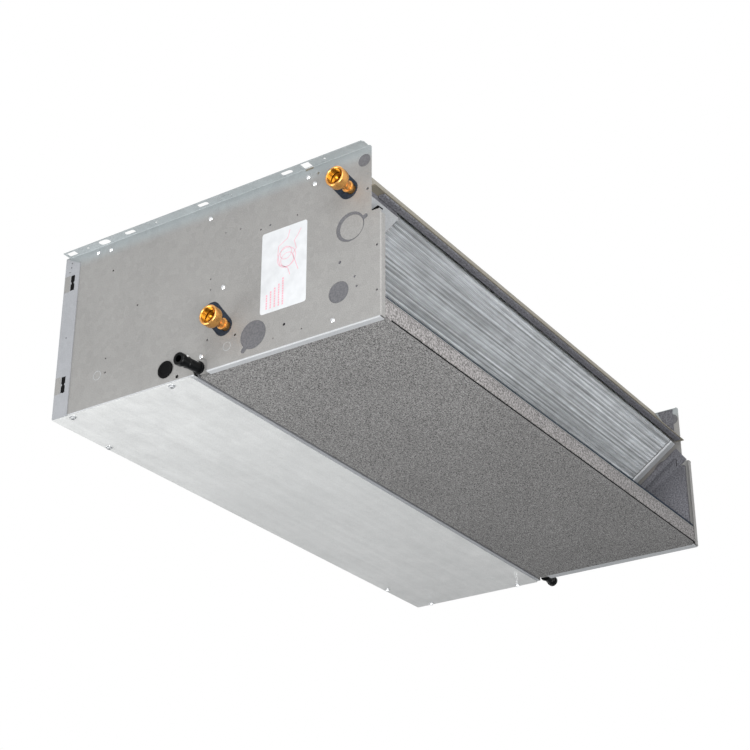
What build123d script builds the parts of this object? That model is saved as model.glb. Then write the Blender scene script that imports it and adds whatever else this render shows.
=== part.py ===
from build123d import *
from math import atan2, cos, degrees, hypot, pi, radians, sin, tan
import os

# Fan coil unit for a false ceiling: galvanised casing, tilted water coil behind the outlet, two blowers at the back.
# Frame: +X along the unit, away from the water connections; the outlet faces -Y; +Z up.
# The origin is the middle of the ceiling face. Heights h count up from the underside, depths s back from the front.

# Casing
CASE_LENGTH = 792.0
CASE_DEPTH = 455.0
CASE_HEIGHT = 216.0
SHEET = 1.0
SEAT = 0.3  # gap left between pieces that only lie against each other

# End panels
STEP_HEIGHT = 131.0
STEP_BACK = 12.4
STEP_RADIUS = 5.0
TOP_RADIUS = 3.5
TURN_IN = 8.0
HANG_WIDTH = 12.2
HANG_FRONT = 16.0
HANG_BACK = 5.0
HANG_SLOT_DEPTHS = (120.0, 239.0, 350.0, 389.0)
HANG_SLOT_LENGTH = 15.0
HANG_SLOT_WIDTH = 6.5
CABLE_ENTRY_BEHIND_DECK = 25.0
CABLE_ENTRY_HEIGHT = 18.5
CABLE_ENTRY_RADIUS = 9.0
BUSH_WALL = 2.0
BUSH_COLLAR = 1.5
DRAIN_NOTCH = 18.0

# Ceiling sheet with the sloped front and the outlet flange
CEILING_FRONT = 48.0
SLOPE_FOOT = 18.0
OUTLET_FLANGE_DROP = 52.5
OUTLET_FLANGE_FRONT = 7.5
CEILING_TURN_DOWN = 12.0

# Insulation
LINING = 5.0
LINING_MARGIN = 8.0
LINING_BOTTOM = 30.0
LINING_DECK_GAP = 4.0
LINING_COIL_GAP = 14.0
FLANGE_FOAM = 3.0
FLANGE_FOAM_BACK = 16.5
PAN_FOAM = 3.0

# Drain pan
PAN_FRONT = 1.3
PAN_DECK_GAP = 19.0
PAN_FRONT_HEIGHT = 27.0
PAN_REAR_HEIGHT = 20.0
SPIGOT_INSET = 6.0
SPIGOT_FLOOR_GAP = 0.2
SPIGOT_RADIUS = 6.0
SPIGOT_BORE = 4.0
SPIGOT_REACH = 36.0
SPIGOT_SIDES = 16
SPIGOT_COLLAR = 1.5
SPIGOT_COLLAR_LENGTH = 7.0

# Underside behind the pan
RAIL_PAN_GAP = 3.0
RAIL_WIDTH = 30.0
RAIL_HEIGHT = 12.0
ACCESS_LAP = 3.0

# Coil, laid out along its face from the top edge (d) and through its rows (n)
COIL_TILT = 35.7
COIL_TOP_DEPTH = 17.4
COIL_TOP_DROP = 60.2
COIL_DECK_GAP = 20.0
COIL_PAN_GAP = 12.0
TUBE_RADIUS = 4.75
TUBE_PITCH = 25.4
ROW_PITCH = 22.0
ROWS = 2
COIL_LEFT = 60.0
COIL_RIGHT = 22.0
FIN_STEP = 11.0
FIN_THICKNESS = 0.4
PLATE_FLANGE = 10.0
PLATE_EDGE = 2.0
TUBE_SIDES = 6
BEND_STEPS = 3
BEND_FOOT = 2.0
HEADER_RADIUS = 9.0
HEADER_SIDES = 12
HEADER_CENTRE = 30.0
HEADER_CAP = 6.0
FEED_STRAIGHT = 7.0
PORT_INSET = 10.5
BRACKET_WIDTH = 24.0

# Water connections
CUP_RADIUS = 12.0
CUP_BORE = 9.3
CUP_BORE_DEPTH = 14.0
CUP_LENGTH = 20.0
CUP_REACH = 32.0
NECK_RADIUS = 5.5
NECK_SINK = 3.0
NECK_SIDES = 16
PIPE_SLOT_WIDTH = 24.0
PIPE_SLOT_LENGTH = 40.0
PIPE_SLOT_SHIFT = 13.8
PIPE_SLOT_LEAN = 48.0
SEAL_THICKNESS = 6.0
SEAL_MARGIN = 3.0

# Fans
DECK_FLANGE = 12.0
SHAFT_DECK_GAP = 91.0
SHAFT_RADIUS = 5.0
FAN_OFFSET = 236.0
SCROLL_TOP_GAP = 16.0
SCROLL_REAR_GAP = 4.0
SCROLL_GROWTH = 8.0
SCROLL_LIP_ANGLE = 150.0
SCROLL_FLANGE = 10.0
SCROLL_STEPS = 6  # straight lengths in a quarter turn of the spiral
IMPELLER_RADIUS = 64.0
IMPELLER_WIDTH = 180.0
WHEEL_LIP_GAP = 11.0
WHEEL_SIDE_GAP = 9.0
INLET_OVERLAP = 3.0
BLADE_COUNT = 18
BLADE_DEPTH = 11.0
BLADE_THICKNESS = 1.0
BLADE_ENTRY_ANGLE = 20.0
BLADE_BULGE = 2.6
WHEEL_RING = 1.5
HUB_RADIUS = 12.0
HUB_LENGTH = 30.0

# Motor
MOTOR_RADIUS = 52.0
MOTOR_LENGTH = 110.0
MOTOR_WALL = 6.0
MOTOR_EDGE = 5.0
MOTOR_BOSS_RADIUS = 18.0
MOTOR_BOSS_LENGTH = 14.0
BEARING_RADIUS = 11.0
BEARING_WIDTH = 9.0
BEARING_CLEARANCE = 0.05
RING_RADIUS = 26.0
CRADLE_SHEET = 2.0
CRADLE_WIDTH = 40.0
CAPACITOR_RADIUS = 15.0
CAPACITOR_LENGTH = 60.0

# Rear frame and air filter
REAR_WRAP = 22.7
REAR_WRAP_DROP = 13.0
REAR_MITRE = 12.0
REAR_SIDE = 28.0
REAR_FOOT = 20.0
REAR_HEAD = 18.0
REAR_LIP = 9.0
REAR_TURN_IN = 11.0
LOWER_HOOK_HEIGHT = 41.0
UPPER_HOOK_DROP = 37.0
HOOK_SLOT_LENGTH = 9.0
HOOK_SLOT_WIDTH = 3.0
FILTER_GAP = 0.6
FILTER_THICKNESS = 7.0
FILTER_BORDER = 9.0
FILTER_BARS = 3
FILTER_BAR_WIDTH = 4.0
MESH_THICKNESS = 1.2
PULL_WIDTH = 24.0
PULL_REACH = 5.0

# Terminal box on the dry end
BOX_LENGTH = 45.0
BOX_DEPTH = 110.0
BOX_HEIGHT = 90.0
BOX_REAR_GAP = 22.3
BOX_FOOT = 70.0
BOX_WALL = 1.5
GLAND_RADIUS = 8.0
GLAND_BORE = 5.0
GLAND_REACH = 14.0

# Bleed and drain valves on the headers
VALVE_RADIUS = 5.0
VALVE_SIDES = 12
VALVE_LENGTH = 10.0
VALVE_SINK = 2.0
VALVE_STEM_RADIUS = 2.5
VALVE_CLEARANCE = 0.05
VALVE_KNOB_RADIUS = 6.0
VALVE_KNOB_LENGTH = 6.0
COIN_SLOT_WIDTH = 1.2
COIN_SLOT_DEPTH = 1.2

ROUND_SIDES = 24
HIDDEN_SIDES = 16  # sides of round pieces inside the casing, to keep the facets few

LEFT = -CASE_LENGTH / 2
RIGHT = CASE_LENGTH / 2
FRONT = -CASE_DEPTH / 2
BACK = CASE_DEPTH / 2
FOOT = -CASE_HEIGHT
PANEL_BACK = CASE_DEPTH - SHEET
OUTLET_FLANGE_HEIGHT = CASE_HEIGHT - OUTLET_FLANGE_DROP

# Fans and the pieces placed from the fan deck
WHEEL_OUTSIDE = IMPELLER_RADIUS + WHEEL_RING
SCROLL_START = IMPELLER_RADIUS + WHEEL_LIP_GAP
SCROLL_INLET_RADIUS = IMPELLER_RADIUS - BLADE_DEPTH + INLET_OVERLAP
SCROLL_WIDTH = IMPELLER_WIDTH + 2 * (WHEEL_SIDE_GAP + SHEET)
SHAFT_DEPTH = CASE_DEPTH - REAR_LIP - SCROLL_REAR_GAP - SHEET - SCROLL_START - 1.5 * SCROLL_GROWTH
SHAFT_HEIGHT = CASE_HEIGHT - SCROLL_TOP_GAP - SHEET - SCROLL_START - 2.5 * SCROLL_GROWTH
FAN_DECK_DEPTH = SHAFT_DEPTH - SHAFT_DECK_GAP - SHEET
LINING_BACK = FAN_DECK_DEPTH - LINING_DECK_GAP
PAN_REAR = FAN_DECK_DEPTH - PAN_DECK_GAP
RAIL_FRONT = PAN_REAR + RAIL_PAN_GAP
ACCESS_FRONT = FAN_DECK_DEPTH - ACCESS_LAP
SPIGOT_DEPTH = PAN_REAR - SPIGOT_INSET
SPIGOT_HEIGHT = PAN_FOAM + SEAT + SHEET + SPIGOT_FLOOR_GAP + SPIGOT_BORE
CABLE_ENTRY = (FAN_DECK_DEPTH + CABLE_ENTRY_BEHIND_DECK, CABLE_ENTRY_HEIGHT)
BOX_FRONT = CASE_DEPTH - REAR_WRAP - BOX_REAR_GAP - BOX_DEPTH

# Coil: as many tubes in a row as fit ahead of the fan deck and above the pan, an odd number as the bends pair them
COIL_TOP_HEIGHT = CASE_HEIGHT - COIL_TOP_DROP
COIL_THICKNESS = ROWS * ROW_PITCH
REACH_BACK = FAN_DECK_DEPTH - COIL_DECK_GAP - COIL_TOP_DEPTH - COIL_THICKNESS * sin(radians(COIL_TILT))
REACH_DOWN = COIL_TOP_HEIGHT - COIL_PAN_GAP - PAN_FOAM
COIL_ROOM = min(REACH_BACK / cos(radians(COIL_TILT)), REACH_DOWN / sin(radians(COIL_TILT)))
TUBES_PER_ROW = 2 * int((COIL_ROOM / TUBE_PITCH - 1) / 2) + 1
COIL_HEIGHT = TUBES_PER_ROW * TUBE_PITCH
PORT_PITCHES = TUBES_PER_ROW - 1
COIL_X0 = LEFT + COIL_LEFT
COIL_X1 = RIGHT - COIL_RIGHT
HEADER_X = LEFT + HEADER_CENTRE
LINED_LEFT = LEFT + SHEET + LINING
LINED_RIGHT = RIGHT - SHEET - LINING

os.makedirs("parts", exist_ok=True)


def y_at(s):
    """Y of a depth counted back from the front."""
    return FRONT + s


def z_at(h):
    """Z of a height counted up from the underside."""
    return FOOT + h


def save(name, *solids):
    """Writes the solids of one sub-part to its own file."""
    export_step(Compound(label=name, children=[s for shape in solids for s in shape.solids()]), f"parts/{name}.step")


def block(x0, x1, s0, s1, h0, h1):
    """Box between two corners, with depths and heights counted as in the frame above."""
    centre = Pos((x0 + x1) / 2, y_at((s0 + s1) / 2), z_at((h0 + h1) / 2))
    return centre * Box(x1 - x0, s1 - s0, h1 - h0)


def end_section(points, corner_radii=None):
    """Face in the plane of the casing's ends, from (depth, height) points; radii are given by point number."""
    section = make_face(Polyline(*[(y_at(s), z_at(h)) for s, h in points], close=True))
    for number, radius in (corner_radii or {}).items():
        s, h = points[number]
        corner = section.vertices().sort_by_distance((y_at(s), z_at(h), 0))[0]
        section = fillet(corner, radius)
    return section


def along_x(section, x0, x1):
    """Extrudes a face in the plane of the casing's ends from x0 to x1."""
    return extrude(Plane.YZ.offset(x0) * section, amount=x1 - x0)


def sheet_section(points, thickness):
    """Section of a folded sheet: the points run along one skin, and the other skin lies on their left."""
    other = []
    for i, (u, v) in enumerate(points):
        normals = []
        for a, b in ((i - 1, i), (i, i + 1)):
            if a >= 0 and b < len(points):
                du, dv = points[b][0] - points[a][0], points[b][1] - points[a][1]
                normals.append((-dv / hypot(du, dv), du / hypot(du, dv)))
        nu, nv = normals[0][0] + normals[-1][0], normals[0][1] + normals[-1][1]
        scale = 2 * thickness / (nu * nu + nv * nv)
        other.append((u + nu * scale, v + nv * scale))
    return end_section([*points, *reversed(other)])


def rod(x0, x1, s, h, radius):
    """Round bar along X."""
    return Pos((x0 + x1) / 2, y_at(s), z_at(h)) * Rot(0, 90, 0) * Cylinder(radius, x1 - x0)


def prism(x0, x1, s, h, radius, sides=HIDDEN_SIDES):
    """Bar along X with a many-sided section, for round pieces that need no true bore."""
    place = Pos(y_at(s), z_at(h)) * RegularPolygon(radius, sides)
    return along_x(place, x0, x1)


def sided(side, x0, x1):
    """Distances inwards from the outer face of the left (-1) or right (+1) end, as an ascending pair of X."""
    pair = (side * (RIGHT - x0), side * (RIGHT - x1))
    return min(pair), max(pair)


coil_frame = Plane(origin=(0, y_at(COIL_TOP_DEPTH), z_at(COIL_TOP_HEIGHT)), x_dir=(1, 0, 0),
                   z_dir=(0, sin(radians(COIL_TILT)), cos(radians(COIL_TILT))))


def coil_block(x0, x1, d0, d1, n0, n1):
    """Box in the coil's own directions: along the unit, down the face and through the rows."""
    box = Pos((x0 + x1) / 2, (d0 + d1) / 2, (n0 + n1) / 2) * Box(x1 - x0, d1 - d0, n1 - n0)
    return coil_frame.location * box


def coil_point(d, n):
    """Depth and height of a point given down the coil's face and through its rows."""
    tilt = radians(COIL_TILT)
    return COIL_TOP_DEPTH + d * cos(tilt) + n * sin(tilt), COIL_TOP_HEIGHT - d * sin(tilt) + n * cos(tilt)


def tube_place(row, index):
    """Place of one tube down the face and through the rows; outer rows are staggered by half a pitch."""
    stagger = TUBE_PITCH / 2 if row % 2 == 0 else 0
    return TUBE_PITCH / 4 + stagger + index * TUBE_PITCH, (row + 0.5) * ROW_PITCH


PORT_DEPTH = COIL_THICKNESS / 2
UPPER_PORT = coil_point(PORT_INSET, PORT_DEPTH)
LOWER_PORT = coil_point(PORT_INSET + PORT_PITCHES * TUBE_PITCH, PORT_DEPTH)


def pipe_slot(port):
    """Slot for a water pipe, long through the coil's rows so that deeper coils fit the same panel."""
    lean = radians(PIPE_SLOT_LEAN)
    s, h = port[0] + PIPE_SLOT_SHIFT * cos(lean), port[1] + PIPE_SLOT_SHIFT * sin(lean)
    slot = SlotOverall(PIPE_SLOT_LENGTH, PIPE_SLOT_WIDTH)
    return Pos(y_at(s), z_at(h)) * Rot(0, 0, PIPE_SLOT_LEAN) * slot


def bracket_blocks(side):
    """Two sheet tabs that tie the coil's end plate to the end panel."""
    reach = COIL_LEFT if side < 0 else COIL_RIGHT
    x0, x1 = sided(side, SHEET, reach)
    depth = COIL_THICKNESS + PLATE_EDGE
    return [coil_block(x0, x1, d, d + BRACKET_WIDTH, depth, depth + SHEET)
            for d in (COIL_HEIGHT * 0.15, COIL_HEIGHT * 0.75)]


def end_panel(side):
    """One galvanised end panel with its step, folded edges and hanging flange."""
    outline = [(0, 0), (0, STEP_HEIGHT), (STEP_BACK, STEP_HEIGHT), (STEP_BACK, CASE_HEIGHT),
               (PANEL_BACK, CASE_HEIGHT), (PANEL_BACK, 0)]
    plate = end_section(outline, {1: STEP_RADIUS, 3: TOP_RADIUS})
    notch_top = SPIGOT_HEIGHT + DRAIN_NOTCH / 2
    notch = end_section([(SPIGOT_DEPTH - DRAIN_NOTCH / 2, -1), (SPIGOT_DEPTH - DRAIN_NOTCH / 2, notch_top),
                         (SPIGOT_DEPTH + DRAIN_NOTCH / 2, notch_top), (SPIGOT_DEPTH + DRAIN_NOTCH / 2, -1)],
                        {1: DRAIN_NOTCH / 3, 2: DRAIN_NOTCH / 3})
    plate -= notch
    if side < 0:
        plate -= pipe_slot(UPPER_PORT) + pipe_slot(LOWER_PORT)
        s, h = CABLE_ENTRY
        plate -= Pos(y_at(s), z_at(h)) * RegularPolygon(CABLE_ENTRY_RADIUS, ROUND_SIDES)
    x0, x1 = sided(side, 0, SHEET)
    panel = along_x(plate, x0, x1)
    x0, x1 = sided(side, SHEET, TURN_IN)
    panel += block(x0, x1, 0, SHEET, SHEET, STEP_HEIGHT - STEP_RADIUS)
    panel += block(x0, x1, 0, SPIGOT_DEPTH - DRAIN_NOTCH / 2, 0, SHEET)
    panel += block(x0, x1, SPIGOT_DEPTH + DRAIN_NOTCH / 2, PANEL_BACK, 0, SHEET)
    panel += block(x0, x1, PANEL_BACK - SHEET, PANEL_BACK, SHEET, CASE_HEIGHT - CEILING_TURN_DOWN - SHEET - SEAT)
    x0, x1 = sided(side, -HANG_WIDTH, 0)
    flange = block(x0, x1, HANG_FRONT, CASE_DEPTH - HANG_BACK, CASE_HEIGHT - SHEET, CASE_HEIGHT)
    slot = extrude(SlotOverall(HANG_SLOT_LENGTH, HANG_SLOT_WIDTH, rotation=90), amount=3 * SHEET, both=True)
    for depth in HANG_SLOT_DEPTHS:
        flange -= Pos((x0 + x1) / 2, y_at(depth), z_at(CASE_HEIGHT)) * slot
    return panel + flange


def end_lining(side):
    """Foam on the inside of an end panel: one piece in front of the coil, one between the coil and the fan deck."""
    top = CASE_HEIGHT - CEILING_TURN_DOWN - SHEET - SEAT
    step = STEP_BACK + LINING_MARGIN
    front = end_section([(LINING_MARGIN, LINING_BOTTOM), (LINING_MARGIN, STEP_HEIGHT - LINING_MARGIN),
                         (step, STEP_HEIGHT - LINING_MARGIN), (step, coil_line_height(-LINING_COIL_GAP, step)),
                         (coil_line_depth(-LINING_COIL_GAP, LINING_BOTTOM), LINING_BOTTOM)])
    behind = COIL_THICKNESS + PLATE_EDGE + SHEET + SEAT
    rear = end_section([(CEILING_FRONT, coil_line_height(behind, CEILING_FRONT)), (CEILING_FRONT, top),
                        (LINING_BACK, top), (LINING_BACK, coil_line_height(behind, LINING_BACK))])
    if side < 0:
        rear -= seal_outline(UPPER_PORT, SEAT) + seal_outline(LOWER_PORT, SEAT)
    x0, x1 = sided(side, SHEET, SHEET + LINING)
    lining = [along_x(front, x0, x1), along_x(rear, x0, x1)]
    for tab in bracket_blocks(side):
        lining = [piece - tab for piece in lining]
    return lining


def coil_line_depth(n, height):
    """Depth at which a line along the coil, n through its rows, passes the given height."""
    s, h = coil_point(0, n)
    return s + (h - height) / tan(radians(COIL_TILT))


def coil_line_height(n, depth):
    """Height at which a line along the coil, n through its rows, passes the given depth."""
    s, h = coil_point(0, n)
    return h - (depth - s) * tan(radians(COIL_TILT))


def ceiling_sheet():
    """Ceiling sheet: rear turn-down, flat, sloped front and the flange for a duct or grille."""
    x0, x1 = LEFT + SHEET, RIGHT - SHEET
    skin = [(PANEL_BACK - SHEET, CASE_HEIGHT - CEILING_TURN_DOWN), (PANEL_BACK - SHEET, CASE_HEIGHT),
            (CEILING_FRONT, CASE_HEIGHT), (SLOPE_FOOT, OUTLET_FLANGE_HEIGHT), (STEP_BACK, OUTLET_FLANGE_HEIGHT)]
    sheet = along_x(sheet_section(skin, SHEET), x0, x1)
    lip_height = OUTLET_FLANGE_HEIGHT - SHEET
    sheet += block(LEFT, RIGHT, OUTLET_FLANGE_FRONT, STEP_BACK, lip_height, OUTLET_FLANGE_HEIGHT)
    for side in (-1, 1):
        a, b = sided(side, SHEET, 2 * SHEET)
        drop = CASE_HEIGHT - SHEET - CEILING_TURN_DOWN
        sheet += block(a, b, CEILING_FRONT + LINING_MARGIN, PANEL_BACK - 2 * SHEET, drop, CASE_HEIGHT - SHEET)
    return sheet


def drain_pan():
    """Folded tray under the coil, with a lip over its front insulation."""
    x0, x1 = LEFT + SHEET + SEAT, RIGHT - SHEET - SEAT
    floor = PAN_FOAM + SEAT
    inner_front = PAN_FRONT + PAN_FOAM
    skin = [(PAN_FRONT, PAN_FRONT_HEIGHT - SHEET), (inner_front, PAN_FRONT_HEIGHT - SHEET), (inner_front, floor),
            (PAN_REAR, floor), (PAN_REAR, PAN_REAR_HEIGHT)]
    pan = along_x(sheet_section(skin, SHEET), x0, x1)
    for a, b in ((x0, x0 + SHEET), (x1 - SHEET, x1)):
        pan += block(a, b, inner_front + SHEET, PAN_REAR - SHEET, floor, PAN_REAR_HEIGHT)
        pan -= prism(a - 1, b + 1, SPIGOT_DEPTH, SPIGOT_HEIGHT, SPIGOT_BORE, SPIGOT_SIDES)
    return pan


def pan_foam():
    """Foam jacket on the underside and the front of the pan, between the folded edges of the end panels."""
    x0, x1 = LEFT + TURN_IN + SEAT, RIGHT - TURN_IN - SEAT
    outline = [(PAN_FRONT, 0), (PAN_FRONT, PAN_FRONT_HEIGHT - SHEET), (PAN_FRONT + PAN_FOAM, PAN_FRONT_HEIGHT - SHEET),
               (PAN_FRONT + PAN_FOAM, PAN_FOAM + SEAT), (PAN_REAR, PAN_FOAM + SEAT), (PAN_REAR, 0)]
    return along_x(end_section(outline, {0: 1.5}), x0, x1)


def drain_spigot(side):
    """Plastic drain outlet on the pan's end wall, through the notch in the end panel."""
    wall = SHEET + SEAT
    x0, x1 = sided(side, -SPIGOT_REACH, wall)
    tube = prism(x0, x1, SPIGOT_DEPTH, SPIGOT_HEIGHT, SPIGOT_RADIUS, SPIGOT_SIDES)
    x0, x1 = sided(side, -SPIGOT_REACH, -SPIGOT_REACH + SPIGOT_COLLAR_LENGTH)
    tube += rod(x0, x1, SPIGOT_DEPTH, SPIGOT_HEIGHT, SPIGOT_RADIUS + SPIGOT_COLLAR)
    x0, x1 = sided(side, -SPIGOT_REACH - 1, wall + 1)
    return tube - prism(x0, x1, SPIGOT_DEPTH, SPIGOT_HEIGHT, SPIGOT_BORE, SPIGOT_SIDES)


def centre_rail():
    """Cross rail between the pan and the access panel; it carries the fan deck."""
    skin = [(RAIL_FRONT, RAIL_HEIGHT), (RAIL_FRONT, 0), (RAIL_FRONT + RAIL_WIDTH, 0)]
    return along_x(sheet_section(skin, SHEET), LEFT + TURN_IN + SEAT, RIGHT - TURN_IN - SEAT)


def coil_fins():
    """Plate fins, drawn at a coarser pitch than the real ones."""
    count = int((COIL_X1 - COIL_X0 - FIN_THICKNESS) / FIN_STEP) + 1
    start = (COIL_X0 + COIL_X1 - (count - 1) * FIN_STEP) / 2
    return [coil_block(x - FIN_THICKNESS / 2, x + FIN_THICKNESS / 2, 0, COIL_HEIGHT, 0, COIL_THICKNESS)
            for x in (start + i * FIN_STEP for i in range(count))]


def coil_tubes():
    """Straight copper tubes between the end plates."""
    return [prism(COIL_X0, COIL_X1, *coil_point(*tube_place(row, i)), TUBE_RADIUS, TUBE_SIDES)
            for row in range(ROWS) for i in range(TUBES_PER_ROW)]


def pipe_along(points):
    """Bent pipe through points, as straight lengths with mitred joints, starting along X."""
    section = Plane(origin=points[0], x_dir=(0, 1, 0), z_dir=(1, 0, 0)) * RegularPolygon(TUBE_RADIUS, TUBE_SIDES)
    return sweep(section, path=Polyline(*points), transition=Transition.RIGHT)


def coil_space(x, d, n):
    """Point of the coil in the casing's frame."""
    s, h = coil_point(d, n)
    return x, y_at(s), z_at(h)


def return_bend(x, outwards, start, end):
    """Half-turn bend on one end plate, between two places down the face and through the rows."""
    half = ((end[0] - start[0]) / 2, (end[1] - start[1]) / 2)
    middle = (start[0] + half[0], start[1] + half[1])
    foot = x + outwards * BEND_FOOT
    points = [coil_space(x, *start)]
    for step in range(BEND_STEPS + 1):
        angle = pi * step / BEND_STEPS
        run, lift = -cos(angle), hypot(*half) * sin(angle)
        points.append(coil_space(foot + outwards * lift, middle[0] + half[0] * run, middle[1] + half[1] * run))
    return pipe_along([*points, coil_space(x, *end)])


def bends(side):
    """Bends of one end: two circuits, one down each row, and the crossing between the rows at the dry end."""
    last = TUBES_PER_ROW - 1
    if side < 0:
        runs = [((row, i), (row, i + 1)) for row, start in ((0, 0), (1, 2)) for i in range(start, last - 1, 2)]
        return [return_bend(COIL_X0 - SHEET, -1, tube_place(*a), tube_place(*b)) for a, b in runs]
    runs = [((row, i), (row, i + 1)) for row in range(ROWS) for i in range(1, last, 2)]
    runs.append(((0, 0), (1, 0)))
    return [return_bend(COIL_X1 + SHEET, 1, tube_place(*a), tube_place(*b)) for a, b in runs]


def coil_end_plate(side):
    """Channel-shaped end plate of the coil, flanges turned away from the fins."""
    outwards = -1 if side < 0 else 1
    x = COIL_X0 if side < 0 else COIL_X1
    spans = sorted((x, x + outwards * SHEET))
    plate = coil_block(*spans, 0, COIL_HEIGHT, -PLATE_EDGE, COIL_THICKNESS + PLATE_EDGE)
    spans = sorted((x, x + outwards * PLATE_FLANGE))
    for n in (-PLATE_EDGE, COIL_THICKNESS + PLATE_EDGE - SHEET):
        plate += coil_block(*spans, 0, COIL_HEIGHT, n, n + SHEET)
    return plate


def header_cover():
    """Blanking plate beside the coil's face, in front of the headers."""
    depth = -PLATE_EDGE - SHEET
    return coil_block(LEFT + SHEET, COIL_X0 - SHEET, 0, COIL_HEIGHT * 0.94, depth, depth + SHEET)


def header(port_d, places):
    """Copper header at mid thickness, with a bent feed to each of its tubes and seats for the union and the valve."""
    ends = [port_d, *(d for d, n in places)]
    d0, d1 = min(ends) - HEADER_CAP, max(ends) + HEADER_CAP
    section = Rot(0, 0, 180 / HEADER_SIDES) * RegularPolygon(HEADER_RADIUS, HEADER_SIDES, major_radius=False)
    barrel = Pos(HEADER_X, (d0 + d1) / 2, PORT_DEPTH) * Rot(90, 0, 0) * extrude(section, (d1 - d0) / 2, both=True)
    pipe = coil_frame.location * barrel
    x_plate = COIL_X0 - SHEET
    for d, n in places:
        pipe += pipe_along([coil_space(x_plate, d, n), coil_space(x_plate - FEED_STRAIGHT, d, n),
                            coil_space(HEADER_X, d, PORT_DEPTH)])
    port = coil_point(port_d, PORT_DEPTH)
    pipe -= prism(HEADER_X - 2 * HEADER_RADIUS, HEADER_X - HEADER_RADIUS + NECK_SINK, *port, NECK_RADIUS, NECK_SIDES)
    seat = extrude(RegularPolygon(VALVE_RADIUS, VALVE_SIDES), amount=2 * HEADER_RADIUS)
    return pipe - valve_plane(port).location * seat


def water_connection(port):
    """Brass union: threaded cup outside the panel, and a neck soldered to the header."""
    s, h = port
    cup_mouth = LEFT - CUP_REACH
    piece = prism(cup_mouth, cup_mouth + CUP_LENGTH, s, h, CUP_RADIUS, ROUND_SIDES)
    piece += prism(cup_mouth + CUP_LENGTH, HEADER_X - HEADER_RADIUS + NECK_SINK, s, h, NECK_RADIUS, NECK_SIDES)
    return piece - rod(cup_mouth, cup_mouth + CUP_BORE_DEPTH, s, h, CUP_BORE)


def seal_outline(port, gap=0.0):
    """Outline of the foam pad behind a pipe slot, with cut corners."""
    lean = radians(PIPE_SLOT_LEAN)
    s, h = port[0] + PIPE_SLOT_SHIFT * cos(lean), port[1] + PIPE_SLOT_SHIFT * sin(lean)
    margin = SEAL_MARGIN + gap
    cut = (PIPE_SLOT_WIDTH / 2 + margin) * (1 - tan(pi / 8))
    pad = chamfer(Rectangle(PIPE_SLOT_LENGTH + 2 * margin, PIPE_SLOT_WIDTH + 2 * margin).vertices(), cut)
    return Pos(y_at(s), z_at(h)) * Rot(0, 0, PIPE_SLOT_LEAN) * pad


def pipe_seal(port):
    """Dark foam pad behind a pipe slot, tight round the pipe's neck."""
    pad = seal_outline(port) - Pos(y_at(port[0]), z_at(port[1])) * RegularPolygon(NECK_RADIUS, NECK_SIDES)
    return along_x(pad, LEFT + SHEET, LEFT + SHEET + SEAL_THICKNESS)


def valve_plane(port):
    """Plane at the foot of a header's small valve, on the header's back, with its normal along the valve's stem."""
    tilt = radians(COIL_TILT)
    reach = HEADER_RADIUS - VALVE_SINK
    s, h = port[0] + reach * sin(tilt), port[1] + reach * cos(tilt)
    return Plane(origin=(HEADER_X, y_at(s), z_at(h)), x_dir=(1, 0, 0), z_dir=(0, sin(tilt), cos(tilt)))


def valve_body(port):
    """Small brass seat on the header."""
    body = extrude(RegularPolygon(VALVE_RADIUS, VALVE_SIDES), amount=VALVE_LENGTH)
    body -= Pos(0, 0, VALVE_LENGTH) * Cylinder(VALVE_STEM_RADIUS + VALVE_CLEARANCE, VALVE_LENGTH)
    return valve_plane(port).location * body


def valve_screw(port):
    """Knurled screw of the valve, turned by hand or with a coin."""
    top = VALVE_LENGTH
    stem_foot = VALVE_LENGTH / 2 + 0.5
    stem = Pos(0, 0, stem_foot) * extrude(RegularPolygon(VALVE_STEM_RADIUS, VALVE_SIDES), amount=top + SEAT - stem_foot)
    knob = Pos(0, 0, top + SEAT) * extrude(RegularPolygon(VALVE_KNOB_RADIUS, VALVE_SIDES), amount=VALVE_KNOB_LENGTH)
    knob -= Pos(0, 0, top + SEAT + VALVE_KNOB_LENGTH) * Box(3 * VALVE_KNOB_RADIUS, COIN_SLOT_WIDTH, 2 * COIN_SLOT_DEPTH)
    return valve_plane(port).location * (stem + knob)


def scroll_wire(extra):
    """Spiral of the blower housing about the shaft, grown by the wall: lip, three quarter turns, straight to the deck."""
    half = SCROLL_GROWTH / 2
    centres = ((half, -half), (half, half), (-half, half))
    radii = [SCROLL_START + i * SCROLL_GROWTH + extra for i in range(3)]
    reach = -SHAFT_DECK_GAP
    top = half + radii[2]

    def on_arc(i, angle):
        return centres[i][0] + radii[i] * cos(radians(angle)), centres[i][1] + radii[i] * sin(radians(angle))

    turns = ((0, SCROLL_LIP_ANGLE, 270), (1, 270, 360), (2, 0, 90))
    points = [on_arc(i, a + (b - a) * step / SCROLL_STEPS) for i, a, b in turns for step in range(SCROLL_STEPS)]
    points.append(on_arc(2, 90))
    return make_face(Polyline(*points, (reach, top), (reach, points[0][1]), close=True))


def scroll_outlet_heights():
    """Lower and upper height of the blower's mouth at the fan deck."""
    half = SCROLL_GROWTH / 2
    low = SHAFT_HEIGHT - half + SCROLL_START * sin(radians(SCROLL_LIP_ANGLE))
    return low, SHAFT_HEIGHT + half + SCROLL_START + 2 * SCROLL_GROWTH


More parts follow.
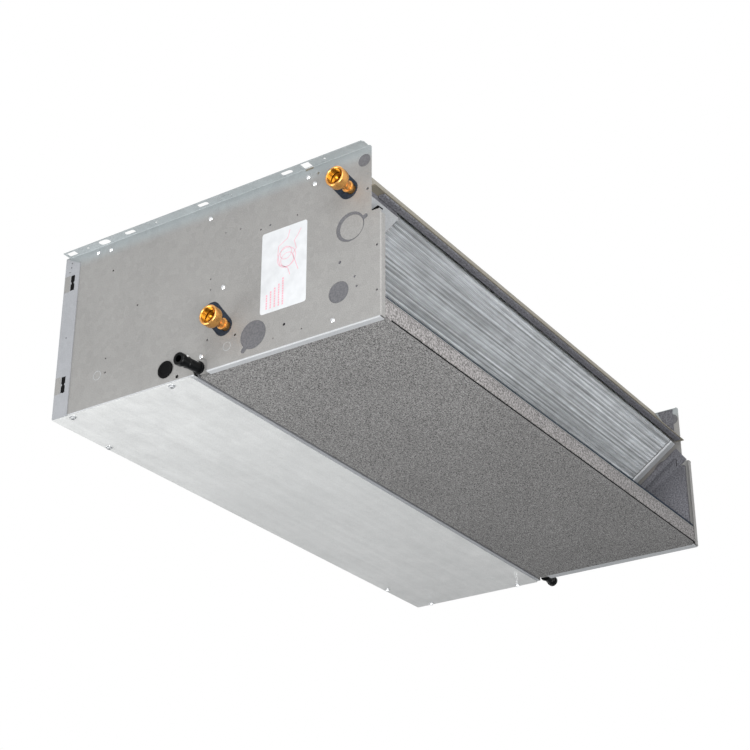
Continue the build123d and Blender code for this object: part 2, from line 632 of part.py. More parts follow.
def scroll(centre):
    """Blower housing: spiral wall, two sides with round inlets, open mouth with a flange against the deck."""
    axis = Pos(y_at(SHAFT_DEPTH), z_at(SHAFT_HEIGHT))
    x0, x1 = centre - SCROLL_WIDTH / 2, centre + SCROLL_WIDTH / 2
    shell = along_x(axis * scroll_wire(SHEET), x0, x1)
    shell -= along_x(axis * scroll_wire(0), x0 + SHEET, x1 - SHEET)
    shell -= prism(x0 - 1, x1 + 1, SHAFT_DEPTH, SHAFT_HEIGHT, SCROLL_INLET_RADIUS)
    low, high = scroll_outlet_heights()
    deck = FAN_DECK_DEPTH + SHEET
    shell -= block(x0 + SHEET, x1 - SHEET, deck - 1, deck + SHEET, low, high)
    rim = block(x0 - SCROLL_FLANGE, x1 + SCROLL_FLANGE, deck, deck + SHEET, low - SHEET, high + SHEET)
    return shell + (rim - block(x0 + SHEET, x1 - SHEET, deck - 1, deck + 2 * SHEET, low, high))


def blade_section(angle):
    """Section of one forward-curved blade between the wheel's inner and outer circle."""
    inner = IMPELLER_RADIUS - BLADE_DEPTH
    lean = radians(angle)
    sweep = radians(BLADE_ENTRY_ANGLE) * BLADE_DEPTH / IMPELLER_RADIUS

    def at(radius, turn, shift):
        u, v = radius * cos(lean + turn), radius * sin(lean + turn)
        return u - shift * sin(lean), v + shift * cos(lean)

    middle = (inner + IMPELLER_RADIUS) / 2
    near = [at(inner, 0, 0), at(middle, 0, -BLADE_BULGE), at(IMPELLER_RADIUS, sweep, 0)]
    far = [at(inner, 0, BLADE_THICKNESS), at(middle, 0, BLADE_THICKNESS - BLADE_BULGE),
           at(IMPELLER_RADIUS, sweep, BLADE_THICKNESS)]
    return make_face(Polyline(*near, *reversed(far), close=True))


def wheel_outline():
    """Outside of a wheel's disc and rings."""
    return Pos(y_at(SHAFT_DEPTH), z_at(SHAFT_HEIGHT)) * RegularPolygon(WHEEL_OUTSIDE, BLADE_COUNT)


def impeller(centre):
    """Double-inlet wheel: middle disc on a hub and curved blades both sides."""
    axis = Pos(y_at(SHAFT_DEPTH), z_at(SHAFT_HEIGHT))
    half = IMPELLER_WIDTH / 2
    disc = along_x(wheel_outline(), centre - WHEEL_RING / 2, centre + WHEEL_RING / 2)
    disc += prism(centre - HUB_LENGTH / 2, centre + HUB_LENGTH / 2, SHAFT_DEPTH, SHAFT_HEIGHT, HUB_RADIUS)
    bore = SHAFT_RADIUS / cos(pi / HIDDEN_SIDES)
    wheel = [disc - prism(centre - HUB_LENGTH, centre + HUB_LENGTH, SHAFT_DEPTH, SHAFT_HEIGHT, bore)]
    blades = [axis * blade_section(360 / BLADE_COUNT * i) for i in range(BLADE_COUNT)]
    for way in (-1, 1):
        a, b = sorted((centre + way * (half - WHEEL_RING), centre + way * WHEEL_RING / 2))
        wheel.extend(along_x(blade, a, b) for blade in blades)
    return wheel


def wheel_rings(centre):
    """Ring over the blade ends at each side of a wheel."""
    inside = Pos(y_at(SHAFT_DEPTH), z_at(SHAFT_HEIGHT)) * RegularPolygon(IMPELLER_RADIUS - BLADE_DEPTH, BLADE_COUNT)
    ends = (centre - IMPELLER_WIDTH / 2, centre + IMPELLER_WIDTH / 2 - WHEEL_RING)
    return [along_x(wheel_outline() - inside, x, x + WHEEL_RING) for x in ends]


def fan_deck():
    """Upright plate between the coil space and the fan space, with the two blower mouths."""
    x0, x1 = LEFT + SHEET + SEAT, RIGHT - SHEET - SEAT
    top = CASE_HEIGHT - SHEET
    skin = [(FAN_DECK_DEPTH + DECK_FLANGE, SHEET), (FAN_DECK_DEPTH, SHEET), (FAN_DECK_DEPTH, top),
            (FAN_DECK_DEPTH + DECK_FLANGE, top)]
    deck = along_x(sheet_section(skin, -SHEET), LEFT + TURN_IN + SEAT, RIGHT - TURN_IN - SEAT)
    web_top = CASE_HEIGHT - SHEET - CEILING_TURN_DOWN - SEAT
    deck += block(x0, x1, FAN_DECK_DEPTH, FAN_DECK_DEPTH + SHEET, 2 * SHEET, web_top)
    low, high = scroll_outlet_heights()
    for centre in (-FAN_OFFSET, FAN_OFFSET):
        half = SCROLL_WIDTH / 2 - SHEET
        deck -= block(centre - half, centre + half, FAN_DECK_DEPTH - 1, FAN_DECK_DEPTH + SHEET + 1, low, high)
    return deck


def motor_body():
    """Closed motor shell with a boss at each end for the bearings."""
    half = MOTOR_LENGTH / 2
    reach = half + MOTOR_BOSS_LENGTH
    body = prism(-half, half, SHAFT_DEPTH, SHAFT_HEIGHT, MOTOR_RADIUS)
    body = chamfer(body.faces().sort_by(Axis.X)[0].edges() + body.faces().sort_by(Axis.X)[-1].edges(), MOTOR_EDGE)
    body += prism(-reach, reach, SHAFT_DEPTH, SHAFT_HEIGHT, MOTOR_BOSS_RADIUS)
    body -= prism(-half + MOTOR_WALL, half - MOTOR_WALL, SHAFT_DEPTH, SHAFT_HEIGHT, MOTOR_RADIUS - MOTOR_WALL)
    body -= prism(-reach - 1, reach + 1, SHAFT_DEPTH, SHAFT_HEIGHT, SHAFT_RADIUS + 1)
    for way in (-1, 1):
        a, b = sorted((way * (reach + 1), way * (reach - BEARING_WIDTH)))
        body -= prism(a, b, SHAFT_DEPTH, SHAFT_HEIGHT, BEARING_RADIUS)
    return body


def bearing(way):
    """Sleeve bearing in one boss."""
    reach = MOTOR_LENGTH / 2 + MOTOR_BOSS_LENGTH
    a, b = sorted((way * reach, way * (reach - BEARING_WIDTH)))
    ring = prism(a, b, SHAFT_DEPTH, SHAFT_HEIGHT, BEARING_RADIUS)
    return ring - rod(a - 1, b + 1, SHAFT_DEPTH, SHAFT_HEIGHT, SHAFT_RADIUS + BEARING_CLEARANCE)


def mount_ring(way):
    """Rubber ring round one boss; the cradle grips it."""
    x0, x1 = sorted((way * MOTOR_LENGTH / 2, way * (MOTOR_LENGTH / 2 + MOTOR_BOSS_LENGTH - 2)))
    ring = prism(x0, x1, SHAFT_DEPTH, SHAFT_HEIGHT, RING_RADIUS)
    return ring - prism(x0 - 1, x1 + 1, SHAFT_DEPTH, SHAFT_HEIGHT, MOTOR_BOSS_RADIUS)


def motor_cradle():
    """Pressed cradle on the deck: a back plate and two arms that end in collars round the rubber rings."""
    deck = FAN_DECK_DEPTH + SHEET
    arm = MOTOR_LENGTH / 2 + MOTOR_BOSS_LENGTH / 2 - 1
    collar = RING_RADIUS + CRADLE_SHEET + 1
    foot = arm + CRADLE_WIDTH / 2
    low, high = SHAFT_HEIGHT - CRADLE_WIDTH, SHAFT_HEIGHT + CRADLE_WIDTH
    cradle = block(-foot, foot, deck, deck + CRADLE_SHEET, low, high)
    for way in (-1, 1):
        a, b = sorted((way * (arm - CRADLE_SHEET / 2), way * (arm + CRADLE_SHEET / 2)))
        web = end_section([(deck + CRADLE_SHEET, low + 5), (SHAFT_DEPTH, SHAFT_HEIGHT - collar),
                           (SHAFT_DEPTH, SHAFT_HEIGHT + collar), (deck + CRADLE_SHEET, high - 5)])
        cradle += along_x(web, a, b) + prism(a, b, SHAFT_DEPTH, SHAFT_HEIGHT, collar)
        cradle -= prism(a - 1, b + 1, SHAFT_DEPTH, SHAFT_HEIGHT, RING_RADIUS)
    return cradle


def capacitor():
    """Run capacitor lying on the deck beside the motor's foot."""
    x, h = 0.0, SHAFT_HEIGHT + CRADLE_WIDTH + CAPACITOR_RADIUS + 12
    s = FAN_DECK_DEPTH + SHEET + CAPACITOR_RADIUS
    return prism(x - CAPACITOR_LENGTH / 2, x + CAPACITOR_LENGTH / 2, s, h, CAPACITOR_RADIUS)


REAR_X0 = LEFT + REAR_SIDE
REAR_X1 = RIGHT - REAR_SIDE
REAR_H0 = REAR_FOOT
REAR_H1 = CASE_HEIGHT - REAR_HEAD


def rear_frame():
    """Frame round the air inlet; its sides wrap over the end panels and its opening has a deep lip."""
    plate = block(LEFT - SHEET, RIGHT + SHEET, PANEL_BACK, CASE_DEPTH, 0, CASE_HEIGHT - SHEET)
    lip = block(REAR_X0 - SHEET, REAR_X1 + SHEET, CASE_DEPTH - REAR_LIP, CASE_DEPTH, REAR_H0 - SHEET, REAR_H1 + SHEET)
    frame = plate + lip - block(REAR_X0, REAR_X1, 0, CASE_DEPTH + 1, REAR_H0, REAR_H1)
    frame += block(LEFT + TURN_IN + SEAT, RIGHT - TURN_IN - SEAT, CASE_DEPTH - REAR_TURN_IN, PANEL_BACK, 0, SHEET)
    wrap_top = CASE_HEIGHT - REAR_WRAP_DROP
    for side in (-1, 1):
        x0, x1 = sided(side, -SHEET, 0)
        wrap = along_x(end_section([(CASE_DEPTH, 0), (CASE_DEPTH, wrap_top + REAR_MITRE),
                                    (CASE_DEPTH - REAR_WRAP, wrap_top), (CASE_DEPTH - REAR_WRAP, 0)]), x0, x1)
        for h in (LOWER_HOOK_HEIGHT, CASE_HEIGHT - UPPER_HOOK_DROP):
            for step in (-0.6, 0.6):
                mid = h + step * HOOK_SLOT_LENGTH
                s = CASE_DEPTH - REAR_WRAP / 2 - 2
                wrap -= block(x0 - 1, x1 + 1, s - HOOK_SLOT_WIDTH / 2, s + HOOK_SLOT_WIDTH / 2,
                              mid - HOOK_SLOT_LENGTH / 2, mid + HOOK_SLOT_LENGTH / 2)
        frame += wrap
    return frame


def filter_span():
    """Outer faces of the filter's border: along X and up."""
    return (REAR_X0 + FILTER_GAP, REAR_X1 - FILTER_GAP), (REAR_H0 + FILTER_GAP, REAR_H1 - FILTER_GAP)


def filter_frame():
    """Border of the air filter with upright bars and two finger pulls."""
    (x0, x1), (h0, h1) = filter_span()
    s0, s1 = CASE_DEPTH - FILTER_THICKNESS, CASE_DEPTH
    inner = (x0 + FILTER_BORDER, x1 - FILTER_BORDER, h0 + FILTER_BORDER, h1 - FILTER_BORDER)
    frame = block(x0, x1, s0, s1, h0, h1) - block(inner[0], inner[1], s0 - 1, s1 + 1, inner[2], inner[3])
    middle = (s0 + s1) / 2
    for i in range(1, FILTER_BARS + 1):
        x = inner[0] + (inner[1] - inner[0]) * i / (FILTER_BARS + 1)
        frame += block(x - FILTER_BAR_WIDTH / 2, x + FILTER_BAR_WIDTH / 2, middle + MESH_THICKNESS / 2, s1,
                       inner[2], inner[3])
    for x in (x0 + CASE_LENGTH / 6, x1 - CASE_LENGTH / 6):
        frame += block(x - PULL_WIDTH / 2, x + PULL_WIDTH / 2, s1, s1 + PULL_REACH, h0, h0 + SHEET * 2)
    return frame


def filter_mesh():
    """Filter cloth stretched inside the border."""
    (x0, x1), (h0, h1) = filter_span()
    middle = CASE_DEPTH - FILTER_THICKNESS / 2
    return block(x0 + FILTER_BORDER, x1 - FILTER_BORDER, middle - MESH_THICKNESS / 2, middle + MESH_THICKNESS / 2,
                 h0 + FILTER_BORDER, h1 - FILTER_BORDER)


def filter_stops():
    """Clips in the lip of the inlet, which stop the filter from going in too far."""
    stops = []
    s1 = CASE_DEPTH - FILTER_THICKNESS - FILTER_GAP
    for x in (REAR_X0 + CASE_LENGTH / 5, REAR_X1 - CASE_LENGTH / 5):
        for h, way in ((REAR_H0, 1), (REAR_H1, -1)):
            h0, h1 = sorted((h, h + way * FILTER_BORDER * 0.7))
            stops.append(block(x - 8, x + 8, s1 - SHEET, s1, h0, h1))
    return stops


def terminal_box():
    """Open sheet box on the dry end panel."""
    x0, x1 = RIGHT, RIGHT + BOX_LENGTH
    span = (BOX_FRONT, BOX_FRONT + BOX_DEPTH, BOX_FOOT, BOX_FOOT + BOX_HEIGHT)
    box = block(x0, x1, *span)
    box -= block(x0 + BOX_WALL, x1 + 1, span[0] + BOX_WALL, span[1] - BOX_WALL, span[2] + BOX_WALL, span[3] - BOX_WALL)
    for s in gland_depths():
        hole = Pos((x0 + x1) / 2, y_at(s), z_at(BOX_FOOT)) * extrude(gland_stem(), 2 * BOX_WALL, both=True)
        box -= hole
    return box


def gland_stem():
    """Section of a gland's stem, and of its hole in the box."""
    return RegularPolygon(GLAND_RADIUS - 1.5, 12)


def gland_depths():
    """Depths of the two cable glands under the box."""
    return [BOX_FRONT + BOX_DEPTH * share for share in (0.3, 0.7)]


def box_cover():
    """Lid of the terminal box, its rim lapped over the walls."""
    x0, x1 = RIGHT + BOX_LENGTH, RIGHT + BOX_LENGTH + BOX_WALL
    lap = BOX_WALL + SEAT
    cover = block(x0, x1, BOX_FRONT - lap, BOX_FRONT + BOX_DEPTH + lap, BOX_FOOT - lap, BOX_FOOT + BOX_HEIGHT + lap)
    rim = block(x0 - 8, x0, BOX_FRONT - lap, BOX_FRONT + BOX_DEPTH + lap, BOX_FOOT - lap, BOX_FOOT + BOX_HEIGHT + lap)
    rim -= block(x0 - 9, x0, BOX_FRONT - SEAT, BOX_FRONT + BOX_DEPTH + SEAT, BOX_FOOT - SEAT,
                 BOX_FOOT + BOX_HEIGHT + SEAT)
    return cover + rim


def terminal_block():
    """Row of terminals on the box's floor plate."""
    x0 = RIGHT + BOX_WALL
    s0, s1 = BOX_FRONT + 20, BOX_FRONT + BOX_DEPTH - 20
    h = BOX_FOOT + BOX_HEIGHT * 0.55
    strip = block(x0, x0 + 10, s0, s1, h - 10, h + 10)
    ways = 6
    for i in range(ways):
        s = s0 + (i + 0.5) * (s1 - s0) / ways
        strip += block(x0 + 10, x0 + 16, s - 4.5, s + 4.5, h - 7, h + 7)
    return strip


def cable_glands():
    """Plastic glands in the floor of the box, for the supply and control leads."""
    glands = []
    x = RIGHT + BOX_LENGTH / 2
    for s in gland_depths():
        place = Pos(x, y_at(s), z_at(BOX_FOOT))
        gland = Pos(0, 0, -GLAND_REACH / 2) * extrude(RegularPolygon(GLAND_RADIUS, 6), amount=GLAND_REACH / 2, both=True)
        gland += extrude(gland_stem(), amount=BOX_WALL + 2)
        gland -= Cylinder(GLAND_BORE, 4 * GLAND_REACH)
        glands.append(place * gland)
    return glands


def entry_bush():
    """Rubber bush in the cable entry of the wet end panel."""
    s, h = CABLE_ENTRY
    collar = prism(LEFT - BUSH_COLLAR, LEFT, s, h, CABLE_ENTRY_RADIUS + BUSH_COLLAR, ROUND_SIDES)
    bush = collar + prism(LEFT, LEFT + 3 * SHEET, s, h, CABLE_ENTRY_RADIUS, ROUND_SIDES)
    return bush - rod(LEFT - 2 * BUSH_COLLAR, LEFT + 4 * SHEET, s, h, CABLE_ENTRY_RADIUS - BUSH_WALL)


save("left_end_panel", end_panel(-1))
save("right_end_panel", end_panel(1))
save("left_panel_lining", *end_lining(-1))
save("right_panel_lining", *end_lining(1))
save("ceiling_panel", ceiling_sheet())
save("ceiling_lining", block(LINED_LEFT, LINED_RIGHT, CEILING_FRONT + LINING_MARGIN, LINING_BACK,
                             CASE_HEIGHT - SHEET - LINING, CASE_HEIGHT - SHEET))
save("outlet_flange_foam", block(LEFT + 20, RIGHT - 10, OUTLET_FLANGE_FRONT + SHEET, FLANGE_FOAM_BACK,
                                 OUTLET_FLANGE_HEIGHT - SHEET - FLANGE_FOAM, OUTLET_FLANGE_HEIGHT - SHEET))
save("drain_pan", drain_pan())
save("drain_pan_foam", pan_foam())
save("left_drain_spigot", drain_spigot(-1))
save("right_drain_spigot", drain_spigot(1))
save("centre_rail", centre_rail())
save("access_panel", block(LEFT, RIGHT, ACCESS_FRONT, CASE_DEPTH, -SHEET, 0))
save("coil_fins", *coil_fins())
save("coil_tubes", *coil_tubes())
save("right_return_bends", *bends(1))
save("left_return_bends", *bends(-1))
save("left_coil_plate", coil_end_plate(-1))
save("right_coil_plate", coil_end_plate(1))
save("coil_brackets", *bracket_blocks(-1), *bracket_blocks(1))
save("header_cover", header_cover())
save("return_header", header(PORT_INSET, [tube_place(1, 0), tube_place(1, 1)]))
save("supply_header", header(PORT_INSET + PORT_PITCHES * TUBE_PITCH,
                             [tube_place(0, TUBES_PER_ROW - 1), tube_place(1, TUBES_PER_ROW - 1)]))
save("upper_water_connection", water_connection(UPPER_PORT))
save("lower_water_connection", water_connection(LOWER_PORT))
save("pipe_seals", pipe_seal(UPPER_PORT), pipe_seal(LOWER_PORT))
save("header_valve_seats", valve_body(UPPER_PORT), valve_body(LOWER_PORT))
save("air_vent_screw", valve_screw(UPPER_PORT))
save("coil_drain_screw", valve_screw(LOWER_PORT))
save("fan_deck", fan_deck())
save("left_scroll", scroll(-FAN_OFFSET))
save("right_scroll", scroll(FAN_OFFSET))
save("left_impeller", *impeller(-FAN_OFFSET))
save("right_impeller", *impeller(FAN_OFFSET))
save("left_wheel_rings", *wheel_rings(-FAN_OFFSET))
save("right_wheel_rings", *wheel_rings(FAN_OFFSET))
shaft_end = FAN_OFFSET + HUB_LENGTH / 2 + 10
save("fan_shaft", rod(-shaft_end, shaft_end, SHAFT_DEPTH, SHAFT_HEIGHT, SHAFT_RADIUS))
save("motor", motor_body())
save("motor_bearings", bearing(-1), bearing(1))
save("motor_mount_rings", mount_ring(-1), mount_ring(1))
save("motor_cradle", motor_cradle())
save("run_capacitor", capacitor())
save("rear_frame", rear_frame())
save("filter_frame", filter_frame())
save("filter_mesh", filter_mesh())
save("filter_stops", *filter_stops())
save("terminal_box", terminal_box())
save("terminal_box_cover", box_cover())
save("terminal_block", terminal_block())
save("cable_glands", *cable_glands())
save("cable_entry_bush", entry_bush())
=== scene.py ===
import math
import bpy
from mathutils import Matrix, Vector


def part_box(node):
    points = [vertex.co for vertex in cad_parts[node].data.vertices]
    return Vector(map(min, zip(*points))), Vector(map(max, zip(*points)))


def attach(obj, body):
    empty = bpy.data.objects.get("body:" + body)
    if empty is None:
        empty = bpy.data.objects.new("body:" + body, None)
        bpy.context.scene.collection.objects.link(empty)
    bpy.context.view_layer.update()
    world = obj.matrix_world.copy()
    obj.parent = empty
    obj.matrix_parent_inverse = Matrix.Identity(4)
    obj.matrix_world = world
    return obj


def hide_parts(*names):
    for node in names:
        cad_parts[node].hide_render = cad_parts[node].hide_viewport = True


bl_info = {
    "name": "Concealed fan coil unit",
    "version": (1, 0, 0),
    "blender": (4, 5, 0),
    "location": "View3D > Sidebar > Fan coil",
    "description": "Sheet metal, foam, coil, unions, blowers, filter and stage of a ceiling fan coil unit",
    "category": "Object",
}

import bmesh
import bpy
from mathutils import Matrix, Vector

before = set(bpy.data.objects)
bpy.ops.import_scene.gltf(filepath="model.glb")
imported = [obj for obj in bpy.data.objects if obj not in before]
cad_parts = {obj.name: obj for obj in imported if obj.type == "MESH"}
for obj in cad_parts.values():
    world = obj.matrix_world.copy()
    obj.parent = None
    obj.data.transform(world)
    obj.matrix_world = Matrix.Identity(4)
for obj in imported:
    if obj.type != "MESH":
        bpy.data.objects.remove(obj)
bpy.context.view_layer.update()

MM = 0.001
access_low, access_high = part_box("access_panel")
LEFT, RIGHT, BACK = access_low.x, access_high.x, access_high.y
_, FRONT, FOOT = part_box("left_end_panel")[0]
CASE_LENGTH, CASE_DEPTH, CASE_HEIGHT = (RIGHT - LEFT) / MM, (BACK - FRONT) / MM, -FOOT / MM
SHEET = 1.0

# The coil leans back from its top edge; d runs down its face and n through its rows.
COIL_TILT = math.radians(35.7)
COIL_TOP_DEPTH, COIL_TOP_HEIGHT = 17.4, 155.8
COIL_FACE, COIL_ROWS = 228.6, 44.0
TUBE_PITCH, ROW_PITCH, TUBES_PER_ROW = 25.4, 22.0, 9

# Points that are nearer to each other than this, in metres, are made one.
WELD = 1e-6
QUARTER_TURN = math.pi / 2
SIDES = ((-1, "left"), (1, "right"))
# Axes of a plate that stands across the unit, of one that stands along its front,
# and of a fold that runs rearwards.
ACROSS = Matrix(((0, 0, 1), (1, 0, 0), (0, 1, 0))).to_4x4()
ALONG_FRONT = Matrix(((1, 0, 0), (0, 0, -1), (0, 1, 0))).to_4x4()
REARWARD = Matrix(((1, 0, 0), (0, 0, 1), (0, 1, 0))).to_4x4()


def linear(code):
    """Linear RGB of an sRGB hex colour."""
    parts = [int(code[i:i + 2], 16) / 255 for i in (0, 2, 4)]
    return tuple(c / 12.92 if c <= 0.04045 else ((c + 0.055) / 1.055) ** 2.4 for c in parts)


def spot(along, depth, height):
    """Point of the model, in mm along from the left end, back from the front and up from the underside."""
    return Vector((LEFT + along * MM, FRONT + depth * MM, FOOT + height * MM))


def case_box(node):
    """Corners of a CAD node's box as (along, depth, height) in millimetres; the reverse of spot()."""
    return [((p.x - LEFT) / MM, (p.y - FRONT) / MM, (p.z - FOOT) / MM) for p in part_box(node)]


def coil_place(d, n):
    """Depth and height of a point of the coil."""
    sine, cosine = math.sin(COIL_TILT), math.cos(COIL_TILT)
    return COIL_TOP_DEPTH + d * cosine + n * sine, COIL_TOP_HEIGHT - d * sine + n * cosine


def coil_outline(d0, d1, n0, n1):
    """Rectangle in the coil's own directions, drawn as (depth, height)."""
    return [coil_place(d, n) for d, n in ((d0, n0), (d1, n0), (d1, n1), (d0, n1))]


# ---------------------------------------------------------------- node trees

def add(tree, kind, values=None, **settings):
    """Adds one node with its settings; a value is what an input holds, or an output to link to it."""
    node = tree.nodes.new(kind)
    for name, setting in settings.items():
        setattr(node, name, setting)
    for name, value in (values or {}).items():
        if isinstance(value, bpy.types.NodeSocket):
            tree.links.new(value, node.inputs[name])
        else:
            node.inputs[name].default_value = value
    return node


def out(tree, kind, values=None, **settings):
    """First output of a new node."""
    return add(tree, kind, values, **settings).outputs[0]


def calc(tree, operation, *values):
    """Result of an operation on numbers or outputs."""
    return out(tree, "ShaderNodeMath", dict(enumerate(values)), operation=operation)


def vector(tree, **parts):
    """Vector of its parts X, Y and Z, each zero unless given."""
    return out(tree, "ShaderNodeCombineXYZ", parts)


def shape(tree, kind, values=None, **settings):
    """First output of a new geometry node, its kind given without the prefix."""
    return out(tree, "GeometryNode" + kind, values, **settings)


def combined(tree, *shapes):
    """All the shapes as one."""
    whole = add(tree, "GeometryNodeJoinGeometry")
    for part in shapes:
        tree.links.new(part, whole.inputs[0])
    return whole.outputs[0]


def cone(tree, sides, bottom, top, depth):
    """Cone without its tip, on the XY plane."""
    values = {"Vertices": sides, "Radius Bottom": bottom, "Radius Top": top, "Depth": depth}
    return shape(tree, "MeshCone", values)


def placed(tree, geometry, translation, rotation=(0, 0, 0)):
    """Geometry, moved and turned."""
    return shape(tree, "Transform", {"Geometry": geometry, "Translation": translation, "Rotation": rotation})


def row_of_points(tree, count, step, start=(0, 0, 0)):
    """Points from start on, a step apart."""
    return shape(tree, "MeshLine", {"Count": count, "Start Location": start, "Offset": step}, mode="OFFSET")


def start_tree(name, values):
    """Geometry Nodes tree with a geometry input, named inputs for its sizes and a material input."""
    tree = bpy.data.node_groups.new(name, "GeometryNodeTree")

    def socket(label, kind, way="INPUT"):
        return tree.interface.new_socket(label, in_out=way, socket_type="NodeSocket" + kind)

    socket("Geometry", "Geometry")
    for label, value in values.items():
        socket(label, "Int" if isinstance(value, int) else "Float").default_value = value
    socket("Material", "Material")
    socket("Geometry", "Geometry", "OUTPUT")
    return tree, add(tree, "NodeGroupInput").outputs


def end_tree(tree, given, geometry):
    """Closes a tree: the copies become real meshes and get their material."""
    real = shape(tree, "RealizeInstances", {"Geometry": geometry})
    dressed = shape(tree, "SetMaterial", {"Geometry": real, "Material": given["Material"]})
    add(tree, "NodeGroupOutput", {"Geometry": dressed})
    return tree


def end_with_copies(tree, given, instance, points=None, rotation=None):
    """Closes a tree with copies of a shape on points, by default those of the tree's own mesh."""
    values = {"Points": points or given["Geometry"], "Instance": instance}
    if rotation:
        values["Rotation"] = rotation
    return end_tree(tree, given, shape(tree, "InstanceOnPoints", values))


def aim(tree):
    """Direction or turn that is held by each point."""
    return shape(tree, "InputNamedAttribute", {"Name": "aim"}, data_type="FLOAT_VECTOR")


def end_with_heads(tree, given, *parts):
    """Closes a tree with a fastener's head on every point, turned to the point's aim."""
    head = combined(tree, *parts)
    turn = out(tree, "FunctionNodeAlignRotationToVector", {"Vector": aim(tree)}, axis="Z")
    return end_with_copies(tree, given, head, rotation=turn)


def seeds(places):
    """Mesh of loose points, each with the direction that its copy faces, or the turn that it has."""
    mesh = bpy.data.meshes.new("seeds")
    mesh.from_pydata([point for point, way in places], [], [])
    ways = mesh.attributes.new("aim", "FLOAT_VECTOR", "POINT")
    for item, (point, way) in zip(ways.data, places):
        item.vector = way
    return mesh


def screw_tree():
    """Hex washer head of a self-tapping screw, on each point."""
    tree, given = start_tree("hex_screws", {"Washer radius": 0.0042, "Washer height": 0.0006,
                                            "Hex radius": 0.0030, "Hex height": 0.0018})
    rise, radius = given["Washer height"], given["Hex radius"]
    washer = shape(tree, "MeshCylinder", {"Vertices": 24, "Radius": given["Washer radius"], "Depth": rise})
    washer = placed(tree, washer, vector(tree, Z=calc(tree, "MULTIPLY", rise, 0.5)))
    hexagon = cone(tree, 6, radius, calc(tree, "MULTIPLY", radius, 0.82), given["Hex height"])
    return end_with_heads(tree, given, washer, placed(tree, hexagon, vector(tree, Z=rise)))


def rivet_tree():
    """Blind rivet on each point: a low dome with the end of its pulled pin in the middle."""
    tree, given = start_tree("blind_rivets", {"Head radius": 0.0028, "Head height": 0.0010,
                                              "Pin radius": 0.0009})
    radius, height, pin = given["Head radius"], given["Head height"], given["Pin radius"]
    dome = cone(tree, 20, radius, calc(tree, "MULTIPLY", radius, 0.72), height)
    pin = cone(tree, 12, pin, pin, calc(tree, "MULTIPLY", height, 1.25))
    return end_with_heads(tree, given, dome, pin)


def fin_tree():
    """Row of thin corrugated plates along X; each fin's face follows an even zigzag down the coil."""
    tree, given = start_tree("corrugated_fins", {"Count": 10, "Pitch": 0.0025, "Face": 0.2286, "Depth": 0.044,
                                                 "Thickness": 0.00018, "Waves": 37, "Wave height": 0.0010})
    size = vector(tree, X=given["Thickness"], Y=given["Face"], Z=given["Depth"])
    cuts = calc(tree, "MULTIPLY_ADD", given["Waves"], 2.0, 1.0)
    fin = shape(tree, "MeshCube", {"Size": size, "Vertices Y": cuts})
    down = add(tree, "ShaderNodeSeparateXYZ", {0: shape(tree, "InputPosition")}).outputs["Y"]
    from_top = calc(tree, "MULTIPLY_ADD", given["Face"], 0.5, down)
    half = calc(tree, "MULTIPLY", calc(tree, "DIVIDE", given["Face"], given["Waves"]), 0.5)
    share = calc(tree, "DIVIDE", calc(tree, "PINGPONG", from_top, half), half)
    swing = vector(tree, X=calc(tree, "MULTIPLY", share, given["Wave height"]))
    waved = shape(tree, "SetPosition", {"Geometry": fin, "Offset": swing})
    row = row_of_points(tree, given["Count"], vector(tree, X=given["Pitch"]))
    return end_with_copies(tree, given, waved, row)


def wheel_tree():
    """Copies of one blade, evenly about the X axis."""
    tree, given = start_tree("blades_round_shaft", {"Blade count": 38})
    row = row_of_points(tree, given["Blade count"], (0, 0, 0))
    step = calc(tree, "DIVIDE", math.tau, given["Blade count"])
    turn = calc(tree, "MULTIPLY", shape(tree, "InputIndex"), step)
    return end_with_copies(tree, given, given["Geometry"], row, vector(tree, X=turn))


def bend_tree():
    """Half-turn bend of tube on each point, with two straight feet."""
    tree, given = start_tree("return_bends", {"Bend radius": 0.0127, "Tube radius": 0.00475, "Foot": 0.002})
    reach, radius, length = given["Bend radius"], given["Tube radius"], given["Foot"]
    path = {"Resolution": 17, "Radius": reach, "Start Angle": 0.0, "Sweep Angle": math.pi}
    path = shape(tree, "CurveArc", path, mode="RADIUS")
    ring = shape(tree, "CurvePrimitiveCircle", {"Resolution": 16, "Radius": radius})
    tube = shape(tree, "CurveToMesh", {"Curve": path, "Profile Curve": ring, "Fill Caps": True})
    parts = [placed(tree, tube, vector(tree, Y=length))]
    middle = calc(tree, "MULTIPLY", length, 0.5)
    for way in (-1.0, 1.0):
        where = vector(tree, X=calc(tree, "MULTIPLY", reach, way), Y=middle)
        foot = shape(tree, "MeshCylinder", {"Vertices": 16, "Radius": radius, "Depth": length})
        parts.append(placed(tree, foot, where, (QUARTER_TURN, 0, 0)))
    return end_with_copies(tree, given, combined(tree, *parts), rotation=aim(tree))


def net_tree():
    """Net of crossing threads in the XZ plane, for the outside of the filter."""
    tree, given = start_tree("filter_net", {"Width": 0.7, "Height": 0.16, "Pitch": 0.004, "Thread": 0.0005})
    rows = []
    for run, across, axis, other in (("Height", "Width", "X", "Z"), ("Width", "Height", "Z", "X")):
        count = calc(tree, "DIVIDE", given[across], given["Pitch"])
        size = vector(tree, **{axis: given["Thread"], "Y": given["Thread"], other: given[run]})
        start = vector(tree, **{axis: calc(tree, "MULTIPLY", given[across], -0.5)})
        row = row_of_points(tree, count, vector(tree, **{axis: given["Pitch"]}), start)
        thread = shape(tree, "MeshCube", {"Size": size})
        rows.append(shape(tree, "InstanceOnPoints", {"Points": row, "Instance": thread}))
    return end_tree(tree, given, combined(tree, *rows))


# ---------------------------------------------------------------- meshes

def linked(name, data):
    """New object of the scene."""
    made = bpy.data.objects.new(name, data)
    bpy.context.scene.collection.objects.link(made)
    return made


